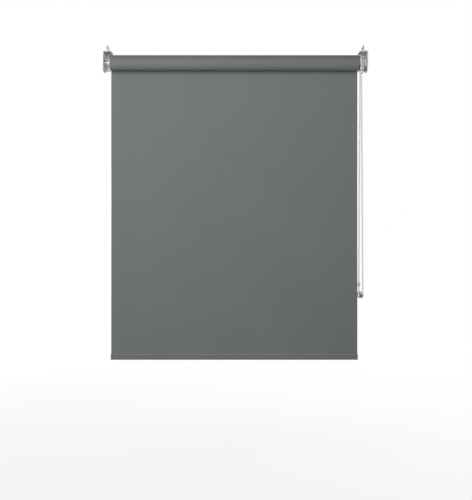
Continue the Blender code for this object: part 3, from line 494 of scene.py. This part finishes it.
def finished(node, material, body, slot, width):
    """The CAD node's own solid with its edges rounded, smooth shading and a wear value on the edges."""
    bm = bmesh.new()
    bm.from_mesh(frame["nodes"][node].data)
    wear = bm.verts.layers.float.new("wear")
    bmesh.ops.remove_doubles(bm, verts=bm.verts, dist=2 * MERGE_DISTANCE)
    bmesh.ops.dissolve_limit(bm, angle_limit=math.radians(FLAT_ANGLE), verts=bm.verts, edges=bm.edges)
    limit = math.radians(ROUNDED_ANGLE)
    sharp = [e for e in bm.edges if len(e.link_faces) == 2 and e.calc_face_angle(0.0) > limit]
    made = bmesh.ops.bevel(
        bm, geom=sharp, offset=width, segments=2, profile=0.5, affect="EDGES", clamp_overlap=True
    )
    for vert in made["verts"]:
        vert[wear] = 1.0
    bmesh.ops.dissolve_degenerate(bm, edges=bm.edges, dist=SLIVER)
    bmesh.ops.triangulate(bm, faces=[f for f in bm.faces if len(f.verts) > 4])
    shade(bm, angle=40)
    mesh = bpy.data.meshes.new("visual_" + node)
    bm.to_mesh(mesh)
    bm.free()
    obj = object_of("visual_" + node, mesh, material)
    normals = obj.modifiers.new("flat_faces_stay_flat", "WEIGHTED_NORMAL")
    normals.keep_sharp = True
    return placed(obj, body, slot, node)


def rounded(profile, radius, steps=3):
    """A closed profile of (axial, radius) points with each corner rounded."""
    points = [Vector(p) for p in profile]
    out = []
    for i, corner in enumerate(points):
        before = points[i - 1]
        after = points[(i + 1) % len(points)]
        reach = min(radius, (corner - before).length * 0.45, (corner - after).length * 0.45)
        start = corner + (before - corner).normalized() * reach
        end = corner + (after - corner).normalized() * reach
        for step in range(steps + 1):
            t = step / steps
            out.append(start * (1 - t) ** 2 + corner * 2 * t * (1 - t) + end * t**2)
    return out


def skin(rings, count):
    """Faces over rings of count points each, one after another, with the first and last ring filled."""
    faces = [tuple(range(count)), tuple((rings - 1) * count + k for k in range(count))]
    for i in range(rings - 1):
        for k in range(count):
            j = (k + 1) % count
            faces.append((i * count + k, i * count + j, (i + 1) * count + j, (i + 1) * count + k))
    return faces


def band(name, loops, angle=32, cloth=()):
    """A skin over loops of equally many points."""
    points = [p for loop in loops for p in loop]
    return mesh_of(name, points, skin(len(loops), len(loops[0])), angle, cloth)


def lathe(name, profile, place, steps, start, sweep):
    """A closed profile of (axial, radius) points turned part of the way about its own Z."""
    loops = []
    for ring in range(steps + 1):
        angle = start + sweep * ring / steps
        across = Vector((math.cos(angle), math.sin(angle), 0.0))
        loops.append([place @ (across * radius + Vector((0, 0, axial))) for axial, radius in profile])
    return band(name, loops)


def sweep_tube(name, places, radii, sides):
    """A tube through places with a radius at each one and filled ends."""
    count = len(places)
    tangents = []
    for i in range(count):
        ahead = places[min(i + 1, count - 1)] - places[max(i - 1, 0)]
        tangents.append(ahead.normalized())
    side = tangents[0].orthogonal().normalized()
    loops = []
    for centre, radius, tangent in zip(places, radii, tangents):
        side = (side - tangent * side.dot(tangent)).normalized()
        other = tangent.cross(side)
        angles = [2 * math.pi * k / sides for k in range(sides)]
        loops.append([centre + (side * math.cos(a) + other * math.sin(a)) * radius for a in angles])
    return band(name, loops, angle=50)


# ---------------------------------------------------------------- bead chain
def smooth_path(route, step):
    """Points at most step apart on a smooth curve through the route, each with its length so far."""
    knots = [CHAIN_ORIGIN + Vector(p) for p in route]
    spans = [(b - a).length for a, b in zip(knots, knots[1:])]
    slopes = [(b - a) / span for a, b, span in zip(knots, knots[1:], spans)]
    tangents = [slopes[0]]
    for i in range(1, len(knots) - 1):
        before, after = spans[i - 1], spans[i]
        tangents.append((slopes[i - 1] * after + slopes[i] * before) / (before + after))
    tangents.append(slopes[-1])
    points = [knots[0]]
    for i, span in enumerate(spans):
        count = max(2, math.ceil(span / step))
        for j in range(1, count + 1):
            t = j / count
            points.append(
                knots[i] * (2 * t**3 - 3 * t**2 + 1)
                + tangents[i] * span * (t**3 - 2 * t**2 + t)
                + knots[i + 1] * (3 * t**2 - 2 * t**3)
                + tangents[i + 1] * span * (t**3 - t**2)
            )
    lengths = [0.0]
    for a, b in zip(points, points[1:]):
        lengths.append(lengths[-1] + (b - a).length)
    return points, lengths


def bead_chain():
    """Every bead on its thread, as one tube whose radius swells at each bead."""
    points, lengths = smooth_path(CHAIN_ROUTE, CHAIN_STEP)
    total = lengths[-1]
    beads = round(total / BEAD_PITCH)
    pitch = total / beads
    reach = math.sqrt(BEAD_R**2 - CHAIN_THREAD_R**2)
    shares = [math.sin(math.pi * (k / (BEAD_RINGS - 1) - 0.5)) for k in range(BEAD_RINGS)]
    stations = [(0.0, CHAIN_THREAD_R)]
    for index in range(beads):
        centre = (index + 0.5) * pitch
        for share in shares:
            offset = share * reach
            stations.append((centre + offset, math.sqrt(BEAD_R**2 - offset**2)))
    stations.append((total, CHAIN_THREAD_R))
    places = []
    i = 1
    for target, _ in stations:
        while i < len(points) - 1 and lengths[i] < target:
            i += 1
        share = (target - lengths[i - 1]) / (lengths[i] - lengths[i - 1])
        places.append(points[i - 1].lerp(points[i], share))
    mesh = sweep_tube("visual_bead_chain", places, [radius for _, radius in stations], CHAIN_SIDES)
    obj = object_of("visual_bead_chain", mesh, BEADS, CHAIN_THREAD)
    for face in mesh.polygons:
        rings = sorted({v // CHAIN_SIDES for v in face.vertices})
        on_thread = len(rings) == 1 or rings[0] % BEAD_RINGS == 0
        face.material_index = 1 if on_thread else 0
    return placed(obj, "head", "chain", "bead_chain"), points, total


CHAIN, CHAIN_PATH, CHAIN_LENGTH = bead_chain()


def strand_place(strand, centre):
    """A place at centre with its own Z along a straight run of the chain."""
    top, bottom = (Vector(p) for p in strand)
    turn = Vector((0, 0, 1)).rotation_difference(top - bottom).to_matrix().to_4x4()
    return Matrix.Translation(centre) @ turn


def stop_ball():
    """Two half shells that snap together over a bead."""
    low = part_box("stop_ball_front")[0]
    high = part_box("stop_ball_rear")[1]
    place = strand_place(FRONT_STRAND, (low + high) / 2)
    radius = (high.x - low.x) / 2
    reach = math.asin((BEAD_R + BEAD_BORE_GAP) / radius)
    outer = []
    for step in range(BALL_STEPS + 1):
        angle = math.pi / 2 - reach - (math.pi - 2 * reach) * step / BALL_STEPS
        outer.append((radius * math.sin(angle), radius * math.cos(angle)))
    groove_r = radius - BALL_GROOVE_DEPTH
    groove = [(BALL_GROOVE_HALF, groove_r), (-BALL_GROOVE_HALF, groove_r)]
    profile = outer[: BALL_STEPS // 2] + groove + outer[BALL_STEPS // 2 + 1 :]
    for node, sign in (("stop_ball_front", -1), ("stop_ball_rear", 1)):
        shift = Matrix.Translation((0, sign * BALL_SEAM, 0))
        start = 0.0 if sign > 0 else math.pi
        mesh = lathe("visual_" + node, profile, place @ shift, SHELL_STEPS, start, math.pi)
        placed(object_of("visual_" + node, mesh, WHITE), "ball", "white_plastic", node)


def chain_connector():
    """A split sleeve that two ends of the chain press into."""
    low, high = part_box("chain_connector")
    place = strand_place(REAR_STRAND, (low + high) / 2)
    half = (high.z - low.z) / 2 - CONNECTOR_INSET
    bore = BEAD_R + BEAD_BORE_GAP
    outer = bore + CONNECTOR_WALL
    taper_length, taper_depth = CONNECTOR_TAPER
    waist_outside, waist_inside, waist_depth = CONNECTOR_WAIST
    profile = [
        (-half, bore),
        (-half, outer - taper_depth),
        (-half + taper_length, outer),
        (-waist_outside, outer),
        (-waist_inside, outer - waist_depth),
        (waist_inside, outer - waist_depth),
        (waist_outside, outer),
        (half - taper_length, outer),
        (half, outer - taper_depth),
        (half, bore),
    ]
    profile = rounded(profile, CONNECTOR_ROUNDING)
    start = -math.pi / 2 + CONNECTOR_SLIT / 2
    sweep = 2 * math.pi - CONNECTOR_SLIT
    mesh = lathe("visual_chain_connector", profile, place, CONNECTOR_STEPS, start, sweep)
    placed(object_of("visual_chain_connector", mesh, CLEAR), "connector", "clear_plastic", "chain_connector")


stop_ball()
chain_connector()


# ---------------------------------------------------------------- cloth on the roll
def there_and_back(steps):
    """(side, step) along one face of a sheet and back along the other."""
    return [(1, k) for k in range(steps + 1)] + [(-1, k) for k in range(steps, -1, -1)]


def spiral_radius(turn):
    """Middle of the cloth after turning back by that many radians from where the cloth leaves the roll."""
    return WINDING_R - FABRIC_THICKNESS * turn / (2 * math.pi)


def fabric_roll():
    """The wound cloth as one spiral band. Its outer end lies where the panel begins."""
    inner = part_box("roller_tube")[1].z - AXIS_Z + ROLL_TUBE_GAP
    turns = (WINDING_R - FABRIC_THICKNESS / 2 - inner) / FABRIC_THICKNESS
    steps = round(turns * ROLL_STEPS)
    half = FABRIC_THICKNESS / 2 - ROLL_LAYER_GAP / 2
    loops = []
    cloth = []
    for step in range(steps + 1):
        turn = 2 * math.pi * turns * step / steps
        radius = spiral_radius(turn)
        length = radius * turn + FABRIC_THICKNESS * turn**2 / (4 * math.pi)
        stray = ROLL_STRAY * min(1.0, turn) * noise.noise(Vector((turn * 0.35, 3.1, 0.0)))
        loop = []
        for side, section in there_and_back(ROLL_SECTIONS):
            x = FABRIC_LEFT + FABRIC_WIDTH * (section / ROLL_SECTIONS) + stray
            ripple = ROLL_RIPPLE * noise.noise(Vector((x * 14.0, turn * 0.8, 7.0))) * min(1.0, turn)
            r = radius + side * half + ripple
            loop.append((x, r * math.cos(turn), AXIS_Z + r * math.sin(turn)))
            cloth.append((x, length, 0.0))
        loops.append(loop)
    mesh = band("visual_fabric_roll", loops, cloth=cloth)
    obj = placed(object_of("visual_fabric_roll", mesh, FABRIC), "roller", "fabric", "fabric_roll")


# ---------------------------------------------------------------- lowered cloth
def panel_offset(across, down):
    """How far the cloth stands back from its plane. across is from -1 to 1 and down from 0 to 1."""
    free = math.sin(math.pi * down) ** 3
    cupping = 0.0011 * max(0.0, (abs(across) - 0.86) / 0.14) ** 1.6
    waves = 0.00022 * (1.0 + math.sin(5.1 * across + 0.7) * math.sin(2.3 * down + 0.4))
    pull = 0.00018 * (1.0 + math.sin(9.3 * across - 1.1) * (1.0 - down))
    return free * (cupping + waves + pull)


def fabric_panel():
    """The lowered sheet: almost flat, with slightly cupped edges and the faint waves of a weighted cloth."""
    top = FABRIC_HIGH.z
    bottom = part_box("hem_pocket")[1].z - PANEL_TUCK
    half = FABRIC_THICKNESS / 2
    loops = []
    cloth = []
    for row in range(PANEL_ROWS + 1):
        down = row / PANEL_ROWS
        z = top + (bottom - top) * down
        loop = []
        for side, column in there_and_back(PANEL_COLUMNS):
            across = 2 * column / PANEL_COLUMNS - 1
            x = FABRIC_LEFT + FABRIC_WIDTH * (across + 1) / 2
            y = WINDING_R + panel_offset(across, down) + side * half
            loop.append((x, y, z))
            cloth.append((x, z - top, 0.0))
        loops.append(loop)
    mesh = band("visual_fabric_panel", loops, cloth=cloth)
    obj = placed(object_of("visual_fabric_panel", mesh, FABRIC), "head", "fabric", "fabric_panel")
    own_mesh(obj)


# ---------------------------------------------------------------- hem
def hem_outline(thickness):
    """Half widths and heights down one side of the pocket, from its seam to its underside.

    thickness is the cloth's for the pocket's outer skin, and 0 for its inner one.
    """
    low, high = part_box("hem_pocket")
    wide = (high.y - low.y) / 2 - (FABRIC_THICKNESS - thickness)
    foot = low.z + (FABRIC_THICKNESS - thickness)
    below_seam = high.z - SEAM_HEIGHT
    if thickness:
        seam = FABRIC_THICKNESS + HEM_GAP
        side = [(seam, high.z), (seam, high.z - SEAM_HEIGHT * 0.5), (seam, below_seam)]
    else:
        seam = 2 * HEM_GAP
        side = [(seam, below_seam)] * 3
    slope = below_seam - (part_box("hem_bar")[1].z - HEM_SHOULDER_DROP)
    for step in range(1, HEM_SLOPE_STEPS + 1):
        t = step / HEM_SLOPE_STEPS
        ease = math.sin(t * math.pi / 2) ** 0.9
        side.append((seam + (wide - seam) * ease, below_seam - slope * t))
    for step in range(1, HEM_FOOT_STEPS + 1):
        angle = math.pi / 2 * step / HEM_FOOT_STEPS
        side.append((wide * math.cos(angle), foot + wide - wide * math.sin(angle)))
    return side


def hem_pocket():
    """One cloth folded round the bar and sewn to itself above it."""
    outer_side = hem_outline(FABRIC_THICKNESS)
    inner_side = hem_outline(0.0)
    points = []
    cloth = []
    for section in range(HEM_SECTIONS + 1):
        x = FABRIC_LEFT + FABRIC_WIDTH * section / HEM_SECTIONS
        sag = HEM_SAG * noise.noise(Vector((x * 22.0, 1.7, 0.0)))
        for side in (outer_side, inner_side):
            for sign, chosen in ((1, side), (-1, side[-2::-1])):
                for width, z in chosen:
                    points.append((x, WINDING_R + sign * (width + sag), z))
                    cloth.append((x, z - FABRIC_HIGH.z + sign * HEM_TURN, 0.0))
    count = 2 * len(outer_side) - 1
    faces = []
    for section in range(HEM_SECTIONS):
        for ring in (0, count):
            for k in range(count):
                a = section * 2 * count + ring
                b = a + 2 * count
                j = (k + 1) % count
                faces.append((a + k, a + j, b + j, b + k))
    for base in (0, HEM_SECTIONS * 2 * count):
        for k in range(count):
            j = (k + 1) % count
            faces.append((base + k, base + j, base + count + j, base + count + k))
    mesh = mesh_of("visual_hem_pocket", points, faces, angle=50, cloth=cloth, merge=True)
    obj = placed(object_of("visual_hem_pocket", mesh, FABRIC), "hem", "fabric", "hem_pocket")


def hem_stitches():
    """A row of lock stitches on each face of the seam."""
    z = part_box("hem_pocket")[1].z - SEAM_HEIGHT * 0.5
    count = int((FABRIC_WIDTH - 2 * STITCH_MARGIN) / STITCH_PITCH)
    first = (FABRIC_LEFT + FABRIC_RIGHT) / 2 - (count - 1) * STITCH_PITCH / 2
    random.seed(7)
    points = []
    faces = []
    for index in range(count):
        for sign in (-1, 1):
            x = first + index * STITCH_PITCH
            y = WINDING_R + sign * (FABRIC_THICKNESS + STITCH_STANDOFF)
            lift = random.uniform(-STITCH_LIFT, STITCH_LIFT)
            turn = Matrix.Rotation(random.uniform(-STITCH_TURN, STITCH_TURN), 4, "Y")
            place = Matrix.Translation((x, y, z + lift)) @ turn
            base = len(points)
            for ring in range(STITCH_RINGS + 1):
                along = -math.cos(math.pi * ring / STITCH_RINGS)
                girth = math.sqrt(max(0.004, 1 - along**6))
                for side in range(STITCH_SIDES):
                    angle = 2 * math.pi * side / STITCH_SIDES
                    across = STITCH_R * girth * math.cos(angle)
                    up = STITCH_R * girth * STITCH_TALLER * math.sin(angle)
                    points.append(place @ Vector((along * STITCH_LENGTH / 2, across, up)))
            for face in skin(STITCH_RINGS + 1, STITCH_SIDES):
                faces.append(tuple(base + corner for corner in face))
    mesh = mesh_of("hem_stitches", points, faces, angle=60)
    placed(object_of("hem_stitches", mesh, THREAD), "hem", "fabric")


fabric_roll()
hem_pocket()
hem_stitches()
fabric_panel()


# ---------------------------------------------------------------- springs
def coil(stations, radius, steps):
    """Points round the roller's axis, steps of them a turn, one at each x of stations."""
    places = []
    for index, x in enumerate(stations):
        angle = 2 * math.pi * index / steps
        places.append(Vector((x, radius * math.cos(angle), AXIS_Z + radius * math.sin(angle))))
    return places


def wire_spring(node, places, wire):
    """A round wire through places, in the node's stead."""
    mesh = sweep_tube("visual_" + node, places, [wire] * len(places), WIRE_SIDES)
    return placed(object_of("visual_" + node, mesh, SPRING), "roller", "spring_steel", node)


def brake_springs():
    """Two wrap springs on the hub, each with a leg at both ends that the dogs push."""
    wire = BRAKE_WIRE_R
    count = round(BRAKE_SPRING_TURNS * BRAKE_SPRING_STEPS)
    for node in ("inner_brake_spring", "outer_brake_spring"):
        low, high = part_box(node)
        start = low.x + wire
        length = high.x - low.x - 2 * wire
        stations = [start + length * index / count for index in range(count + 1)]
        body = coil(stations, BRAKE_SPRING_R, BRAKE_SPRING_STEPS)
        reach = max(abs(low.y), abs(high.y)) - wire
        ends = []
        for place in (body[0], body[-1]):
            out = Vector((0.0, place.y, place.z - AXIS_Z)).normalized()
            ends.append(Vector((place.x, out.y * reach, AXIS_Z + out.z * reach)))
        wire_spring(node, [ends[0], *body, ends[1]], wire)


def idle_pin_spring():
    """A compression spring: one close turn at each end and open ones between."""
    low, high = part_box("idle_pin_spring")
    wire = PIN_WIRE_R
    steps = PIN_SPRING_STEPS
    count = round(PIN_SPRING_TURNS * steps)
    close_step = CLOSE_COIL * wire / steps
    open_step = (high.x - low.x - 2 * wire - 2 * steps * close_step) / (count - 2 * steps)
    stations = [low.x + wire]
    for index in range(count):
        at_an_end = index < steps or index >= count - steps
        stations.append(stations[-1] + (close_step if at_an_end else open_step))
    places = coil(stations, (high.y - low.y) / 2 - wire, steps)
    obj = wire_spring("idle_pin_spring", places, wire)
    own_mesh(obj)


brake_springs()
idle_pin_spring()


# ---------------------------------------------------------------- screws
def thread_radius(turns, to_tip, shank_r):
    """The thread's radius after that many turns of its ridge, and that far from the screw's tip."""
    root = shank_r * THREAD_ROOT
    ridge = max(0.0, 1.0 - abs(turns % 1.0 - 0.5) * 4.0)
    taper = SCREW_TIP_BLUNTNESS + (1 - SCREW_TIP_BLUNTNESS) * min(1.0, to_tip / SCREW_TIP)
    return (root + (shank_r * THREAD_CREST - root) * ridge) * taper


def threaded_screw(node, towards, shank, material):
    """A pan-head screw with a rolled thread and a cross recess. Its tip points towards +Y or +Z."""
    low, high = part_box(node)
    shank_r, plain = shank
    direction = Vector(towards)
    axis = max(range(3), key=lambda i: abs(direction[i]))
    crown = (low + high) / 2
    crown[axis] = low[axis]
    length = high[axis] - low[axis]
    head_r = (high.x - low.x) / 2
    head_height = head_r * SCREW_HEAD_HEIGHT
    turn = Vector((0, 0, 1)).rotation_difference(direction).to_matrix().to_4x4()
    place = Matrix.Translation(crown) @ turn
    rings = [(head_height * down, head_r * out) for down, out in SCREW_HEAD_OUTLINE]
    rings += [(head_height, shank_r), (head_height + plain, shank_r)]
    begin = head_height + plain + THREAD_START
    pitch = shank_r * THREAD_PITCH
    count = int((length - begin) / pitch * THREAD_RINGS)
    for index in range(count):
        rings.append((begin + (length - begin) * (index + 0.5) / count, None))
    rings.append((length, 0.0))
    points = []
    for z, radius in rings:
        for k in range(SCREW_SIDES):
            angle = 2 * math.pi * k / SCREW_SIDES
            r = radius
            if r is None:
                r = thread_radius(z / pitch - k / SCREW_SIDES, length - z, shank_r)
            points.append(place @ Vector((r * math.cos(angle), r * math.sin(angle), z)))
    mesh = mesh_of("visual_" + node, points, skin(len(rings), SCREW_SIDES), angle=40, merge=True)
    obj = placed(object_of("visual_" + node, mesh, material), "head", "screw", node)
    cross_recess(obj, place, head_r)


def cross_recess(obj, place, head_r):
    """Cuts a tapered cross into a screw's head."""
    points = []
    narrow = head_r * RECESS_HALF_WIDTH
    for share, z in ((1.0, -RECESS_LEAD), (RECESS_FLOOR, head_r * RECESS_DEPTH)):
        wide = head_r * RECESS_REACH * share
        for quarter in range(4):
            turn = Matrix.Rotation(quarter * math.pi / 2, 4, "Z")
            for x, y in ((wide, -narrow), (wide, narrow), (narrow, narrow)):
                points.append(turn @ Vector((x, y, z)))
    mesh = mesh_of(obj.name + "_recess", points, skin(2, len(points) // 2))
    tool = bpy.data.objects.new(obj.name + "_recess", mesh)
    tool.matrix_world = place
    bpy.context.scene.collection.objects.link(tool)
    cut = obj.modifiers.new("recess", "BOOLEAN")
    cut.operation = "DIFFERENCE"
    cut.solver = "EXACT"
    cut.object = tool
    bpy.context.view_layer.update()
    graph = bpy.context.evaluated_depsgraph_get()
    shaped = bpy.data.meshes.new_from_object(obj.evaluated_get(graph))
    obj.modifiers.clear()
    obj.data = shaped
    bpy.data.objects.remove(tool, do_unlink=True)


for side_name in ("left", "right"):
    for end_name in ("front", "rear"):
        threaded_screw(f"{side_name}_{end_name}_screw", (0, 0, 1), FOOT_SCREW, ZINC)
threaded_screw("tidy_screw", (0, 1, 0), TIDY_SCREW, DARK_ZINC)


# ---------------------------------------------------------------- every other CAD solid, with rounded edges
for node, material, body, slot, width in (
    ("left_bracket", PAINT, "head", "bracket", 0.00014),
    ("right_bracket", PAINT, "head", "bracket", 0.00014),
    ("hub_core", WHITE, "head", "white_plastic", 0.00016),
    ("chain_guard", WHITE, "head", "white_plastic", 0.00022),
    ("retaining_clip", SPRING, "head", "spring_steel", 0.00010),
    ("chain_wheel", WHITE, "roller", "white_plastic", 0.00010),
    ("drive_insert", WHITE, "roller", "white_plastic", 0.00012),
    ("roller_tube", ALUMINIUM, "roller", "aluminium", 0.00010),
    ("idle_plug", WHITE, "roller", "white_plastic", 0.00014),
    ("idle_pin", ZINC, "pin", "screw", 0.00014),
    ("hem_bar", ALUMINIUM, "hem", "aluminium", 0.00010),
    ("left_hem_cap", WHITE, "hem", "white_plastic", 0.00016),
    ("right_hem_cap", WHITE, "hem", "white_plastic", 0.00016),
    ("chain_tidy", WHITE, "head", "white_plastic", 0.00014),
):
    finished(node, material, body, slot, width)


# ---------------------------------------------------------------- floor and light
FLOOR_DROP = 0.34  # hem to floor
FLOOR_R = 3.2
AMBIENT_SIDE = 0.42
AMBIENT_TOP = 0.08


def floor():
    """A pale disc that glows with painted light, more and more towards its rim, until it matches the
    background's white.
    """
    bm = bmesh.new()
    bmesh.ops.create_circle(bm, cap_ends=True, segments=96, radius=FLOOR_R)
    mesh = bpy.data.meshes.new("floor")
    bm.to_mesh(mesh)
    bm.free()
    graph = Graph("pale_floor", (0.86, 0.86, 0.85), 0.7)
    grain = graph.noise(graph.place(), 0.05, 3.0)
    graph.set("Base Color", graph.mix(grain, (0.84, 0.84, 0.83), (0.88, 0.88, 0.87)))
    distance = graph.node("VectorMath", {0: graph.place()}, operation="LENGTH").outputs["Value"]
    # Painted glow: a white emission blended over the floor's colour, three quarters of it at the middle and
    # all of it at the rim.
    glow = graph.remap(distance, 0.2, 2.0, 0.75, 1.0)
    white = graph.node("Emission", {"Color": (1, 1, 1, 1), "Strength": 1.0})
    blend = graph.node("MixShader", {0: glow, 1: graph.shader.outputs[0], 2: white.outputs[0]})
    graph.tree.links.new(blend.outputs[0], graph.tree.nodes["Material Output"].inputs["Surface"])
    obj = object_of("floor", mesh, graph.material)
    obj.location = (0.0, 0.0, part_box("hem_pocket")[0].z - FLOOR_DROP)
    obj.visible_diffuse = False
    obj.visible_glossy = False


def area_light(name, place, aim, size, power, mirrored=True):
    """A square lamp aimed at a point. mirrored says whether glossy surfaces show it."""
    data = bpy.data.lights.new(name, "AREA")
    data.shape = "SQUARE"
    data.size = size
    data.energy = power
    light = bpy.data.objects.new(name, data)
    light.location = place
    light.visible_camera = False
    light.visible_glossy = mirrored
    light.rotation_euler = (Vector(aim) - Vector(place)).to_track_quat("-Z", "Y").to_euler()
    bpy.context.scene.collection.objects.link(light)


def world():
    """White behind everything, and a dimmer white as the light from all round, least from overhead."""
    made = bpy.data.worlds.new("studio")
    made.use_nodes = True
    tree = made.node_tree
    background = tree.nodes["Background"]
    background.inputs["Color"].default_value = (1.0, 1.0, 1.0, 1.0)
    rays = tree.nodes.new("ShaderNodeLightPath")
    direction = tree.nodes.new("ShaderNodeTexCoord")
    parts = tree.nodes.new("ShaderNodeSeparateXYZ")
    tree.links.new(direction.outputs["Generated"], parts.inputs[0])
    overhead = tree.nodes.new("ShaderNodeMapRange")
    overhead.interpolation_type = "SMOOTHSTEP"
    overhead.inputs["From Min"].default_value = 0.05
    overhead.inputs["From Max"].default_value = 0.75
    overhead.inputs["To Min"].default_value = AMBIENT_SIDE
    overhead.inputs["To Max"].default_value = AMBIENT_TOP
    tree.links.new(parts.outputs["Z"], overhead.inputs["Value"])
    strength = tree.nodes.new("ShaderNodeMapRange")
    strength.inputs["To Max"].default_value = 1.0
    tree.links.new(rays.outputs["Is Camera Ray"], strength.inputs["Value"])
    tree.links.new(overhead.outputs[0], strength.inputs["To Min"])
    tree.links.new(strength.outputs[0], background.inputs["Strength"])
    bpy.context.scene.world = made


floor()
world()
area_light("key", (-0.50, -1.38, 0.14), (-0.08, 0.0, -0.14), 0.8, 18.9)
area_light("back", (0.7, 2.0, 0.3), (0.0, 0.0, -0.30), 1.2, 30.0, mirrored=False)
area_light("side", (2.2, 0.3, 0.3), (0.3, 0.0, -0.20), 0.9, 14.0)
bpy.context.scene.view_settings.view_transform = "Standard"
